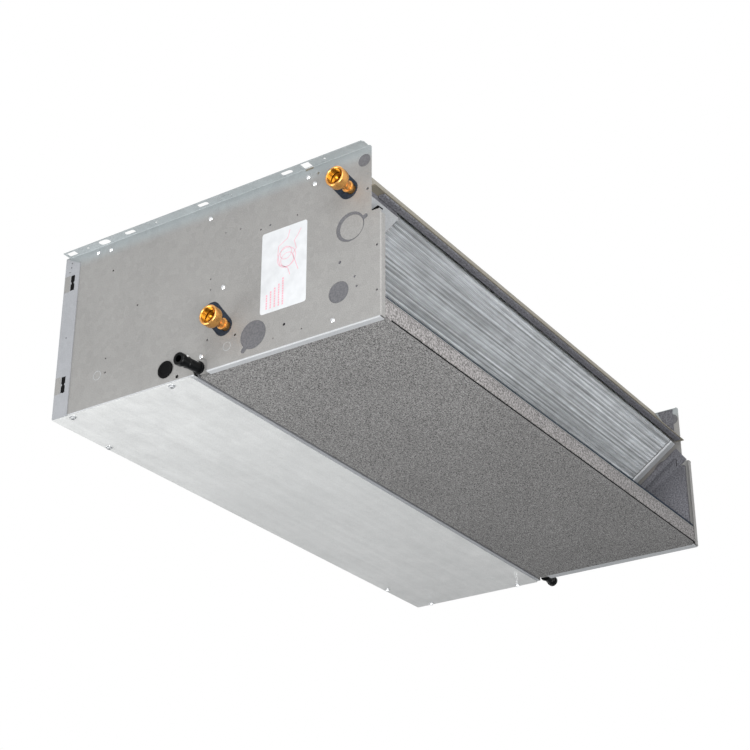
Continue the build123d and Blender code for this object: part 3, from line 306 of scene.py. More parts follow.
def evaluated(holder):
    """Plain mesh of an object, with its modifiers applied."""
    return bpy.data.meshes.new_from_object(holder.evaluated_get(bpy.context.evaluated_depsgraph_get()))


def closed(work, mesh=None, outward=True):
    """Writes a bmesh to a mesh, its faces turned outward, and frees it."""
    if outward:
        bmesh.ops.recalc_face_normals(work, faces=work.faces)
    if mesh is None:
        mesh = bpy.data.meshes.new("shape")
    work.to_mesh(mesh)
    work.free()
    return mesh


def grow(tree, mesh, material, values):
    """Runs a tree on a mesh and gives back the plain mesh that it makes."""
    holder = linked("holder", mesh)
    modifier = holder.modifiers.new("nodes", "NODES")
    modifier.node_group = tree
    wanted = {**values, "Material": finish(material)}
    for item in tree.interface.items_tree:
        if item.in_out == "INPUT" and item.name in wanted:
            modifier[item.identifier] = wanted[item.name]
    made = evaluated(holder)
    bpy.data.objects.remove(holder)
    if not len(made.polygons):
        raise RuntimeError(f"the tree {tree.name} made no faces")
    return made


def joined(meshes):
    """One mesh from several; each is used up."""
    work = bmesh.new()
    for mesh in meshes:
        work.from_mesh(mesh)
        bpy.data.meshes.remove(mesh)
    return closed(work, outward=False)


def piece(name, mesh, material, replaces=(), angle=30.0, body="casing"):
    """Finished piece: a mesh in place, one material, riding on a body and standing for CAD nodes."""
    mesh.materials.clear()
    mesh.materials.append(finish(material))
    mesh.shade_smooth()
    mesh.set_sharp_from_angle(angle=math.radians(angle))
    mesh.name = name
    made = linked(name, mesh)
    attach(made, body)
    if replaces:
        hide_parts(*replaces)
    return made


def pad(name, mesh, material, replaces=(), angle=40.0):
    """Finished piece of foam, made as any other piece."""
    piece(name, mesh, material, replaces, angle)


def arc(u, v, radius, start, sweep, steps):
    """Points of an arc, both ends included."""
    angles = [start + sweep * i / steps for i in range(steps + 1)]
    return [(u + radius * math.cos(a), v + radius * math.sin(a)) for a in angles]


def circle(u, v, radius, sides=32):
    """Outline of a round hole, in millimetres."""
    return arc(u, v, radius, 0.0, math.tau, sides)[:-1]


def slot(u, v, length, width, angle=0.0, sides=12):
    """Outline of a hole with round ends, its length turned by an angle in degrees."""
    lean, points = math.radians(angle), []
    for way, start in ((1, lean - QUARTER_TURN), (-1, lean + QUARTER_TURN)):
        reach = way * (length - width) / 2
        middle = u + reach * math.cos(lean), v + reach * math.sin(lean)
        points += arc(*middle, width / 2, start, math.pi, sides)
    return points


def keyhole(u, v, radius, tail_angle, tail_reach, tail_width, sides=36):
    """Outline of a round hole with a narrow round-ended tail."""
    lean = math.radians(tail_angle)
    mouth = math.asin(tail_width / 2 / radius)
    tip = u + tail_reach * math.cos(lean), v + tail_reach * math.sin(lean)
    return (arc(u, v, radius, lean + mouth, math.tau - 2 * mouth, sides)
            + arc(*tip, tail_width / 2, lean - QUARTER_TURN, math.pi, 8))


def rectangle(u0, u1, v0, v1):
    return [(u0, v0), (u1, v0), (u1, v1), (u0, v1)]


def rounded(points, radii, steps=6):
    """Outline with arcs in place of its corners; radii are given by corner number, or as one for all."""
    if not isinstance(radii, dict):
        radii = {i: radii for i in range(len(points))}
    made = []
    for i, point in enumerate(points):
        radius = radii.get(i, 0.0)
        if not radius:
            made.append(point)
            continue
        here = Vector(point)
        before = (Vector(points[i - 1]) - here).normalized()
        after = (Vector(points[(i + 1) % len(points)]) - here).normalized()
        half = before.angle(after) / 2
        centre = here + (before + after).normalized() * (radius / math.sin(half))
        a, b = here + before * (radius / math.tan(half)), here + after * (radius / math.tan(half))
        for k in range(steps + 1):
            way = (a - centre).lerp(b - centre, k / steps)
            made.append(tuple(centre + way.normalized() * radius))
    return made


def plate(outlines, thickness, matrix, edge=0.0):
    """Punched plate: the first outline is its rim and the others are holes, in millimetres."""
    curve = bpy.data.curves.new("outline", "CURVE")
    curve.dimensions, curve.fill_mode, curve.bevel_resolution = "2D", "BOTH", 1
    curve.extrude, curve.bevel_depth, curve.offset = (thickness / 2 - edge) * MM, edge * MM, -edge * MM
    for points in outlines:
        spline = curve.splines.new("POLY")
        spline.points.add(len(points) - 1)
        for point, (u, v) in zip(spline.points, points):
            point.co = (u * MM, v * MM, 0, 1)
        spline.use_cyclic_u = True
    holder = linked("outline", curve)
    mesh = evaluated(holder)
    bpy.data.objects.remove(holder)
    work = bmesh.new()
    work.from_mesh(mesh)
    bmesh.ops.remove_doubles(work, verts=work.verts, dist=WELD)
    closed(work, mesh)
    mesh.transform(Matrix.Translation((0, 0, thickness / 2 * MM)))
    mesh.transform(matrix)
    return mesh


def upright(along):
    """Places a plate drawn as (depth, height) so that it is upright across the unit, rising towards +X."""
    return Matrix.Translation(spot(along, 0, 0)) @ ACROSS


def level(height):
    """Places a plate drawn as (along, depth) so that it lies level and rises from a height."""
    return Matrix.Translation(spot(0, 0, height))


def upright_plates(outlines, thickness, along):
    """Upright plate for each outline."""
    return [plate([points], thickness, upright(along)) for points in outlines]


def bar(corner, opposite):
    """Closed box between two points given as (along, depth, height) in millimetres."""
    low, high = spot(*corner), spot(*opposite)
    work = bmesh.new()
    bmesh.ops.create_cube(work, size=1.0)
    for vert in work.verts:
        vert.co = Vector((low[i] if vert.co[i] < 0 else high[i]) for i in range(3))
    return closed(work)


def swept(section, start, end, matrix):
    """Extrudes a closed outline in millimetres along its own normal, from start to end."""
    work = bmesh.new()
    rings = [[work.verts.new((u * MM, v * MM, w * MM)) for u, v in section] for w in (start, end)]
    for ring in rings:
        work.faces.new(ring)
    bridge(work, *rings)
    mesh = closed(work)
    mesh.transform(matrix)
    return mesh


def bridge(work, a, b):
    """Faces between two rings of points; a ring of one point is a tip."""
    sides = max(len(a), len(b))
    for i in range(sides):
        k = (i + 1) % sides
        corners = dict.fromkeys((a[i % len(a)], a[k % len(a)], b[k % len(b)], b[i % len(b)]))
        if len(corners) > 2:
            work.faces.new(list(corners))


def fold_section(points, radius, thickness=SHEET, steps=8):
    """Section of a folded sheet; its points run along the outer skin, and the sheet lies on their left."""
    outer = rounded(points, {i: radius for i in range(1, len(points) - 1)}, steps)
    inner = []
    for i, point in enumerate(outer):
        along = (Vector(outer[min(i + 1, len(outer) - 1)]) - Vector(outer[max(i - 1, 0)])).normalized()
        inner.append((point[0] - along.y * thickness, point[1] + along.x * thickness))
    return outer + inner[::-1]


def turned(profile, sides=48, ring=False):
    """Round body about the X axis from (along, radius) points in mm; a ring's profile closes on itself."""
    work = bmesh.new()
    rings = []
    for x, radius in profile:
        around = circle(0, 0, radius, sides) if radius else [(0, 0)]
        rings.append([work.verts.new((x * MM, u * MM, v * MM)) for u, v in around])
    for a, b in list(zip(rings, rings[1:])) + ([(rings[-1], rings[0])] if ring else []):
        bridge(work, a, b)
    return closed(work)


def moved(mesh, way):
    """The mesh, moved."""
    mesh.transform(Matrix.Translation(way))
    return mesh


def softened(node, radius):
    """Copy of a CAD node with rounded edges, for foam."""
    work = bmesh.new()
    work.from_mesh(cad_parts[node].data)
    bmesh.ops.remove_doubles(work, verts=work.verts, dist=WELD)
    bmesh.ops.dissolve_limit(work, angle_limit=math.radians(1.0), verts=work.verts, edges=work.edges)
    sharp = [e for e in work.edges if e.is_manifold and e.calc_face_angle(0) > math.radians(25)]
    bmesh.ops.bevel(work, geom=sharp, offset=radius * MM, segments=2, affect="EDGES", clamp_overlap=True)
    return closed(work, outward=False)


# ---------------------------------------------------------------- materials

def shaded(name, colour, roughness, metallic=0.0):
    """Starts a material: its tree, its shader and the object's own coordinates."""
    material = bpy.data.materials.new(name)
    material.use_nodes = True
    tree = material.node_tree
    shader = next(node for node in tree.nodes if node.type == "BSDF_PRINCIPLED")
    shader.inputs["Base Color"].default_value = (*colour, 1)
    shader.inputs["Roughness"].default_value = roughness
    shader.inputs["Metallic"].default_value = metallic
    return material, tree, shader, add(tree, "ShaderNodeTexCoord").outputs["Object"]


def ranged(tree, value, low, high, start=0.0, end=1.0, **settings):
    """Number moved from the range of start to end into that of low to high."""
    span = {"Value": value, "From Min": start, "From Max": end, "To Min": low, "To Max": high}
    return out(tree, "ShaderNodeMapRange", span, **settings)


def changing(tree, where, size, low, high, detail=2.0, stretch=(1, 1, 1)):
    """Number that wanders between low and high over a real size in millimetres."""
    held = out(tree, "ShaderNodeMapping", {"Vector": where, "Scale": stretch})
    cloud = add(tree, "ShaderNodeTexNoise", {"Vector": held, "Scale": 1 / (size * MM), "Detail": detail})
    return ranged(tree, cloud.outputs["Fac"], low, high, 0.3, 0.7)


def scaled(tree, colour, *factors):
    """Colour multiplied by each factor."""
    for factor in factors:
        colour = out(tree, "ShaderNodeVectorMath", {0: colour, "Scale": factor}, operation="SCALE")
    return colour


def coloured(tree, shader, colour, *factors):
    """Gives the shader a colour that is multiplied by each factor."""
    tree.links.new(scaled(tree, colour, *factors), shader.inputs["Base Color"])


def worn(tree, shader, where, size, roughness, less, more):
    """Lets the roughness wander over a real size in millimetres."""
    value = changing(tree, where, size, roughness - less, roughness + more)
    tree.links.new(value, shader.inputs["Roughness"])


def roughened(tree, shader, height, strength, distance):
    """Surface relief from a height pattern, in millimetres."""
    relief = {"Height": height, "Strength": strength, "Distance": distance * MM}
    tree.links.new(out(tree, "ShaderNodeBump", relief), shader.inputs["Normal"])


def galvanised(name, colour, roughness, metallic, spangle=0.04, streak=0.0, top_sheen=False):
    """Hot-dip galvanised steel sheet, skin-passed.

    It is dull zinc with faint spangles, rolling lines and handling marks.
    """
    material, tree, shader, where = shaded(name, colour, roughness, metallic)
    # Zinc crystals of about 7 mm catch the light at slightly different levels.
    crystals = add(tree, "ShaderNodeTexVoronoi", {"Vector": where, "Scale": 1 / (7 * MM)}, feature="F1")
    lot = add(tree, "ShaderNodeSeparateXYZ", {0: crystals.outputs["Color"]}).outputs["X"]
    # Rolling grain is a few tenths of a millimetre in life; it is drawn at 1.2 mm so that it shows.
    grain = changing(tree, where, 1.2, 0.91, 1.09, detail=1.0)
    factors = [ranged(tree, lot, 1 - spangle, 1 + spangle), changing(tree, where, 130.0, 0.95, 1.04), grain]
    if streak:
        factors.append(changing(tree, where, 9.0, 1 - streak, 1 + streak, detail=3.0, stretch=(0.07, 1, 1)))
    shade = scaled(tree, colour, *factors)
    if top_sheen:
        # Painted sheen: the zinc is painted lighter and pale blue towards the top fold, where the light
        # catches it.
        height = add(tree, "ShaderNodeSeparateXYZ", {0: where}).outputs["Z"]
        film = ranged(tree, height, 0.0, 1.0, -22 * MM, -6 * MM, interpolation_type="SMOOTHSTEP")
        tint = {0: scaled(tree, (0.10, 0.20, 0.26), film), 1: (1, 1, 1)}
        tint = out(tree, "ShaderNodeVectorMath", tint, operation="ADD")
        shade = out(tree, "ShaderNodeVectorMath", {0: shade, 1: tint}, operation="MULTIPLY")
    coloured(tree, shader, shade)
    worn(tree, shader, where, 24.0, roughness, 0.06, 0.08)
    roughened(tree, shader, grain, 0.05, 0.1)
    return material


def foam(name, colour, speck=1.4, contrast=0.75):
    """Closed-cell foam sheet: matt, finely speckled by its cut cells, a little worn in patches."""
    material, tree, shader, where = shaded(name, colour, 0.95)
    shader.inputs["Specular IOR Level"].default_value = 0.2
    # Cells are 0.3 to 0.8 mm in life; they are drawn at about 1.5 mm, the finest that the picture holds.
    cells = changing(tree, where, speck, 1 - contrast, 1 + contrast, detail=1.0)
    coloured(tree, shader, colour, cells, changing(tree, where, 90.0, 0.95, 1.05))
    roughened(tree, shader, cells, 0.3, 0.2)
    return material


def bare_metal(name, colour, roughness, metallic=1.0, line=0.0, wear=0.06):
    """Bare machined or drawn metal; line is the spacing of its tool marks in millimetres, along X."""
    material, tree, shader, where = shaded(name, colour, roughness, metallic)
    coloured(tree, shader, colour, changing(tree, where, 6.0, 1 - wear, 1 + wear, detail=4.0))
    worn(tree, shader, where, 3.0, roughness, 0.05, 0.07)
    if line:
        marks = changing(tree, where, line, 0.0, 1.0, detail=1.0, stretch=(1, 0.02, 0.02))
        roughened(tree, shader, marks, 0.15, 0.05)
    return material


def plastic(name, colour, roughness, grain=0.9, relief=0.08, coat=0.0):
    """Moulded plastic or rubber with the fine spark-eroded grain of its mould."""
    material, tree, shader, where = shaded(name, colour, roughness)
    shader.inputs["IOR"].default_value = 1.5
    shader.inputs["Specular IOR Level"].default_value = 0.5 if sum(colour) > 0.05 else 0.15
    shader.inputs["Coat Weight"].default_value = coat
    coloured(tree, shader, colour, changing(tree, where, 12.0, 0.94, 1.06))
    roughened(tree, shader, changing(tree, where, grain, 0.0, 1.0, detail=1.0), relief, 0.1)
    return material


def woven(name, colour, pitch=1.4):
    """Woven polypropylene filter cloth: crossing threads, drawn at 1.4 mm so that they show."""
    material, tree, shader, where = shaded(name, colour, 0.8)
    scale = {"Vector": where, "Scale": 0.5 / (pitch * MM * math.pi)}
    waves = [add(tree, "ShaderNodeTexWave", scale, bands_direction=axis) for axis in ("X", "Z")]
    crossed = calc(tree, "MULTIPLY", *(wave.outputs["Fac"] for wave in waves))
    coloured(tree, shader, colour, ranged(tree, crossed, 0.55, 1.1), changing(tree, where, 60.0, 0.93, 1.05))
    roughened(tree, shader, crossed, 0.6, 0.3)
    return material


def fin_foil(name, colour):
    """Aluminium fin foil, rolled and bright, with a hydrophilic film that dulls it a little."""
    material, tree, shader, where = shaded(name, colour, 0.38, 0.3)
    where = out(tree, "ShaderNodeVectorRotate", {"Vector": where, "Angle": COIL_TILT}, rotation_type="X_AXIS")
    # Painted highlights and shade: broken bright and dull dashes along the coil, and broader lighter and
    # darker bands, stand for light on the fins' edges and waves.
    glint_dashes = changing(tree, where, 2.4, 0.45, 1.35, detail=3.0, stretch=(0.01, 1, 1))
    coloured(tree, shader, colour, glint_dashes, changing(tree, where, 11.0, 0.88, 1.06, stretch=(0.5, 1, 1)))
    return material


# By the name of its colour: what makes a finish, the material's name and the maker's numbers.
FINISHES = {
    # Dull mid-grey zinc of the end panels, with a painted pale blue sheen towards the top fold.
    "zinc": (galvanised, "Galvanised steel sheet", 0.62, 0.45, 0.04, 0.0, True),
    # Paler sheet of the access panel, with rolling streaks along its length.
    "pale_zinc": (galvanised, "Galvanised steel sheet, pale coil", 0.42, 0.35, 0.02, 0.04),
    # Lighter copy of the zinc, a painted highlight: it is used on the turned-in folds, the pressed rings, the
    # coil's end plates and the header cover.
    "lit_zinc": (galvanised, "Galvanised steel sheet, folded", 0.55, 0.35, 0.02),
    # Bright sheet of the frame round the air inlet.
    "bright_zinc": (galvanised, "Galvanised steel sheet, bright", 0.4, 0.5, 0.03),
    # The ceiling sheet has a warm passivation tint.
    "warm_zinc": (galvanised, "Galvanised steel sheet, passivated", 0.55, 0.4, 0.05),
    "foam": (foam, "Closed-cell polyethylene foam"),
    "front_foam": (foam, "Closed-cell foam, cut face", 2.2, 0.6),
    "lining": (foam, "Foam lining, skin side", 2.0, 0.4),
    "knock_out": (foam, "Foam seen in the knock-outs", 1.8, 0.16),
    "seal": (foam, "Soft PVC foam seal", 2.0, 0.3),
    "fins": (fin_foil, "Aluminium fin foil"),
    "brass": (bare_metal, "Machined brass", 0.3, 0.9, 0.6, 0.05),
    # The bore's brass is painted darker: painted shade inside the union's mouth.
    "brass_bore": (bare_metal, "Oiled brass thread", 0.25, 0.9, 0.6, 0.1),
    "copper": (bare_metal, "Drawn copper tube", 0.32, 1.0, 0.0, 0.12),
    "screws": (bare_metal, "Bright zinc-plated steel", 0.25),
    "steel": (bare_metal, "Ground steel", 0.3, 1.0, 0.5),
    "bronze": (bare_metal, "Sintered bronze", 0.5, 0.9),
    "black": (plastic, "Black moulded polyamide", 0.28, 0.9, 0.05),
    "grey_rubber": (plastic, "Grey rubber", 0.7, 1.2, 0.15),
    "wheel": (plastic, "Dark glass-filled plastic", 0.5),
    "motor": (plastic, "Grey enamel on die-cast", 0.42, 2.0, 0.12, 0.2),
    "filter": (plastic, "Dark grey ABS", 0.5),
    "cloth": (woven, "Woven filter cloth"),
    "net": (plastic, "Extruded nylon thread", 0.5),
    "terminal": (plastic, "Pale grey polyamide", 0.45),
    "can": (plastic, "White capacitor can", 0.35),
    "label": (plastic, "White film label", 0.45, 2.0, 0.02),
    "ink": (plastic, "Pale red ink", 0.6, 2.0, 0.02),
    "dark": (plastic, "Shadowed recess", 0.9),
}


def finish(name):
    """A material of the unit by its short name, made on first use."""
    maker, title, *numbers = FINISHES[name]
    held = bpy.data.materials.get(title)
    return held or maker(title, tuple(getattr(bpy.context.scene.fan_coil_colours, name)), *numbers)


def dress(name, *nodes):
    """Gives CAD nodes one of the unit's materials."""
    for node in nodes:
        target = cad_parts[node].data
        target.materials.clear()
        target.materials.append(finish(name))


# ---------------------------------------------------------------- settings

def colour_property(label, code, told):
    return bpy.props.FloatVectorProperty(name=label, description=told, subtype="COLOR", size=3,
                                         min=0.0, max=1.0, default=linear(code))


def size_property(label, millimetres, told):
    return bpy.props.FloatProperty(name=label, description=told, default=millimetres * MM, unit="LENGTH",
                                   subtype="DISTANCE", min=0.0)


def count_property(label, count, least, told):
    return bpy.props.IntProperty(name=label, description=told, default=count, min=least)


class FanCoilColours(bpy.types.PropertyGroup):
    """Colours of the unit's materials."""
    zinc: colour_property("Galvanised sheet", "9B9A98", "Zinc of the end panels")
    pale_zinc: colour_property("Access panel", "D0D1D0", "Paler zinc of the access panel")
    # Painted highlight: lighter zinc for the folds, pressed rings, coil plates and header cover.
    lit_zinc: colour_property("Folded edges", "B2B4B6", "Zinc on the folded edges of the end panels")
    bright_zinc: colour_property("Inlet frame", "A9ABAF", "Bright zinc of the frame round the air inlet")
    warm_zinc: colour_property("Ceiling sheet", "8C8678", "Passivated zinc of the ceiling sheet")
    foam: colour_property("Pan foam", "777675", "Foam under the drain pan")
    front_foam: colour_property("Pan foam, front", "908D8C", "Cut face of the pan's foam")
    lining: colour_property("Linings", "6B6B70", "Foam on the insides and under the outlet flange")
    knock_out: colour_property("Knock-outs", "6B6B6E", "Foam that shows in the knock-outs")
    # The seal colour also paints the shade in the gap between the pan's lip and the coil.
    seal: colour_property("Pipe seals", "2A323D", "Soft foam behind the pipe slots")
    fins: colour_property("Fins", "E0E3E6", "Aluminium fin foil")
    brass: colour_property("Brass", "D79E58", "Water unions and valves")
    # Painted shade: darker brass inside the unions' mouths.
    brass_bore: colour_property("Brass bores", "A86C18", "Threads of the water unions")
    copper: colour_property("Copper", "B87355", "Tubes, bends and headers")
    screws: colour_property("Screws", "D8DADC", "Zinc-plated screws and rivets")
    steel: colour_property("Steel", "B4B6B8", "Fan shaft")
    bronze: colour_property("Bronze", "9C7A4C", "Sleeve bearings")
    black: colour_property("Black plastic", "040506", "Drain spigots and glands")
    grey_rubber: colour_property("Grey rubber", "4A4B4C", "Motor mount rings")
    wheel: colour_property("Blower wheels", "2C2D2F", "Blades, rings and discs")
    motor: colour_property("Motor", "6E7478", "Motor shell")
    filter: colour_property("Filter frame", "3A3B3D", "Frame of the air filter")
    cloth: colour_property("Filter cloth", "4C4E50", "Cloth of the air filter")
    net: colour_property("Filter net", "1F2022", "Net behind the filter cloth")
    terminal: colour_property("Terminals", "C9CBC8", "Terminal strip")
    can: colour_property("Capacitor", "D6D6D2", "Run capacitor")
    label: colour_property("Label", "D6D8DA", "Blank label")
    ink: colour_property("Label lines", "E3A6B4", "Plain lines on the label")
    # Near-black of painted shade in slots, openings, the pan's foam joint and under the step; the cable bush
    # has it too.
    dark: colour_property("Recess", "050506", "Recesses, joints and the cable bush")


class FanCoilSizes(bpy.types.PropertyGroup):
    """Sizes of what is made here."""
    fin_pitch: size_property("Fin pitch", 2.5, "Distance between the coil's fins")
    fin_wave: size_property("Fin wave", 1.3, "How far a fin's zigzag swings")
    fin_waves: count_property("Fin waves", 45, 1, "Zigzags down one fin")
    fold_radius: size_property("Fold radius", 1.6, "Outer radius of the casing's folds")
    foam_edge: size_property("Foam edge", 0.6, "Rounding of the foam's edges")
    screw_washer: size_property("Screw washer radius", 4.0, "Washer of a hex washer head")
    rivet_head: size_property("Rivet head radius", 2.8, "Head of a blind rivet")
    blade_count: count_property("Blades", 38, 3, "Blades of one half of a wheel")
    thread_pitch: size_property("Thread pitch", 1.814, "Pitch of the thread in the water unions")
    net_pitch: size_property("Net pitch", 4.0, "Distance between threads of the filter's net")
    lamp_power: bpy.props.FloatProperty(name="Lamp power", description="Share of the lamps' usual power",
                                        default=1.0, min=0.0)


def sizes():
    return bpy.context.scene.fan_coil_sizes


# ---------------------------------------------------------------- where things are on the unit

# Hanging flange: places are (inwards from the end, depth), with the sizes of slot(), rectangle() or a radius.
HANG_FRONT, HANG_BACK, HANG_WIDTH = 16.0, CASE_DEPTH - 5.0, 12.2
HANG_SLOTS = [(-6.1, depth, 15, 6.5, 90) for depth in (121.0, 240.0, 350.0)] + [(-5.7, 390, 16, 9.6, 90)]
SQUARE_FRONT, SQUARE_BACK, SQUARE_CUT = 89.0, 100.0, 3.6
CORNER_OPENING = (-10.5, -2.5, 434, 447)
HANG_HOLES = ((-6, 415.7, 1.8), (-6, 70, 1.6), (-6, 310, 1.6))
LANCED_TAB = (
    (-1.5, 200.6), (-8, 200.6), (-8, 218), (-1.5, 218), (-1.5, 217), (-7, 217), (-7, 201.6), (-1.5, 201.6))
# Flat of the end panels: places are (depth, height), with a radius or the sizes of slot() or keyhole().
STEP_HEIGHT, STEP_BACK, LIP_TOP = 131.0, 12.4, 126.0
TURN_IN, DRY_TURN_IN = 8.0, 13.0
SPIGOT, SPIGOT_ROOM = (237.0, 8.5), 9.0
CABLE_HOLE = (287.0, 18.5)
PORTS = ((38.8, 167.5), (203.8, 49.0))
PIPE_SLOTS = [(s + 12.1, h + 12.6, 54.0, 23.5, 53.0) for s, h in PORTS]
# Radius of the hole in the soft foam of a pipe slot, round the union's neck.
PIPE_NECK = 6.0
KNOCK_OUTS = ((21.6, 198.4, 7.8), (53.7, 44.7, 12.8))
UPPER_KEYHOLE = (39.6, 120.5, 18.2, 161.0, 20.8, 6.0)
LOWER_KEYHOLE = (165.6, 27.2, 17.2, -51.5, 20.4, 6.6)
SMALL_HOLES = (
    (377.9, 175.2, 1.4), (335.8, 116.0, 1.3), (379.1, 59.0, 1.1), (378.4, 40.6, 1.3), (228.7, 115.8, 1.0),
    (227.9, 101.9, 1.0), (209.7, 170.2, 0.9), (188.4, 168.0, 1.1), (159.8, 157.4, 1.2), (146.9, 159.1, 1.4),
    (109.9, 159.4, 1.0), (82.5, 204.0, 1.8), (17.4, 160.7, 1.7), (52.6, 80.6, 2.0), (33.5, 57.5, 1.5),
    (31.0, 45.0, 1.5), (5.2, 87.0, 1.4), (5.3, 32.8, 1.3), (124.4, 27.6, 1.9), (100.9, 15.2, 1.1),
    (190.5, 34.3, 1.6), (229.3, 39.2, 1.3), (138.2, 14.5, 1.0), (269.9, 5.4, 2.2))
# The small holes in front of this depth are on the wet end alone.
WET_END_HOLES = 60
PANEL_RIVETS = (
    (96, 204), (87, 192), (233, 197), (210, 100), (257, 26), (61, 13.5), (236.7, 20.8), (404.8, 208.7),
    (384.5, 206))
PRESSED_RINGS = ((201.0, 23.1, 5.4), (390.2, 40.0, 5.8))
HOOKS = ((CASE_DEPTH - 13.35, 178.0), (CASE_DEPTH - 13.0, 42.0))
# Half of a hook slot in the rear frame: two openings with a narrow neck between them.
HOOK_SLOT = ((3.0, -10.2), (3.0, -1.3), (1.8, -1.3), (1.8, 1.3), (3.0, 1.3), (3.0, 10.2))
# Small holes of the rear frame, drawn as dots of painted shade.
FRAME_HOLE_SHADES = ((445.0, 206.0), (445.5, 200.0), (447.5, 194.0), (444.0, 104.0))
# Outline of the painted shadow along the wet end panel's step, as (depth, height).
STEP_SHADOW = ((0.2, 131.3), (0.9, 130.3), (5.0, 134.6), (12.2, 132.4), (12.6, 133.5), (4.8, 136.0))
# Screws of the access panel as (along, depth), and of the rear frame as (along, height).
ACCESS_SCREWS = [(x, s) for x in (5.5, CASE_LENGTH - 5.5) for s in (281, 428)]
ACCESS_SCREWS += [(92, 449.5), (CASE_LENGTH - 92, 449.5)]
FRAME_SCREWS = [(x, h) for x in (14, CASE_LENGTH - 14) for h in (24, 108, 196)]
FRAME_SCREWS += [(x, h) for x in (264, 528) for h in (9, 206)]
RAIL_COVER = 8.5
SHAFT = (354.0, 104.0)
FAN_OFFSET, WHEEL_WIDTH, WHEEL_RADIUS, BLADE_DEPTH, BLADE_SHEET = 236.0, 180.0, 64.0, 11.0, 0.8
WHEEL_RING_WIDTH, WHEEL_RING_OUTER = 2.2, WHEEL_RADIUS + 1.5
SPIGOT_DROOP, DRY_SPIGOT_SHARE = math.radians(5), 0.66
LABEL = (96.0, 157.0, 47.5, 149.5)

# Profiles of round parts, as (along, radius).
UNION = (
    (24, 0), (24, 5.3), (-4.0, 5.3), (-4.6, 6.5), (-6.8, 6.7), (-7.4, 5.4), (-13.0, 5.4), (-14.6, 6.2),
    (-17.4, 8.8), (-20.2, 11.3), (-21.8, 12), (-30.8, 12), (-31.5, 11.7), (-32, 11.0), (-32, 10.1),
    (-31.2, 9.4), (-22.3, 9.4), (-20.5, 7.0), (-14, 3.6), (-13.6, 0))
UNION_BORE = (
    (-31.0, 9.38), (-22.4, 9.38), (-20.6, 6.9), (-14.2, 3.5), (-13.8, 0), (-14.0, 0), (-14.4, 3.3),
    (-20.8, 6.6), (-22.6, 9.2), (-31.0, 9.2))
SPIGOT_TUBE = (
    (1.3, 4), (-36, 4), (-36, 6.9), (-35.4, 7.5), (-29.8, 7.5), (-29.0, 6.3), (-22.5, 6.1), (-22, 6.6),
    (-20.8, 6.6), (-20.2, 6.1), (-3, 6.1), (-2.4, 7.6), (-0.9, 7.6), (-0.4, 6.1), (1.3, 6.1))
CABLE_BUSH = (
    (-0.5, 0), (-0.6, 6.4), (-1.1, 7.0), (-1.5, 7.8), (-1.5, 9.8), (-1.0, 10.5), (0, 10.5), (0, 9), (3, 8.8),
    (3, 0))
GLAND = (
    (-14, 5), (-14, 6.0), (-13.2, 6.9), (-8.6, 7.0), (-8.2, 6.4), (-7.6, 6.4), (-7.6, 7.4), (-7.2, 7.8),
    (-0.4, 7.8), (0, 7.3), (0, 6.4), (3.5, 6.4), (3.5, 5))
WHEEL_DISC = (
    (-15, 5.05), (-15, 11.4), (-14.4, 12), (-0.75, 12), (-0.75, WHEEL_RING_OUTER), (0.75, WHEEL_RING_OUTER),
    (0.75, 12), (14.4, 12), (15, 11.4), (15, 5.05))
MOTOR_END = (
    (-69, 11), (-69, 17.4), (-68.4, 18), (-56, 18), (-55, 19), (-55, 44), (-54, 47.5), (-51.5, 50.2),
    (-48, 51.6), (-44, 52), (-8, 52), (-7, 51))
CAPACITOR = (
    (-30, 0), (-30, 13.4), (-29.2, 14.6), (-28, 15), (27, 15), (28, 14.4), (28.4, 13.6), (29.4, 13.6),
    (30, 12.8), (30, 0))


def mirror_along(side, value):
    """Distance from the left end of a place that is given inwards from the left (-1) or right (1) end."""
    return value if side < 0 else CASE_LENGTH - value


class FanCoilStep:
    """What the unit's operators share."""
    bl_options = {"REGISTER", "UNDO"}

    def execute(self, context):
        self.make()
        return {"FINISHED"}


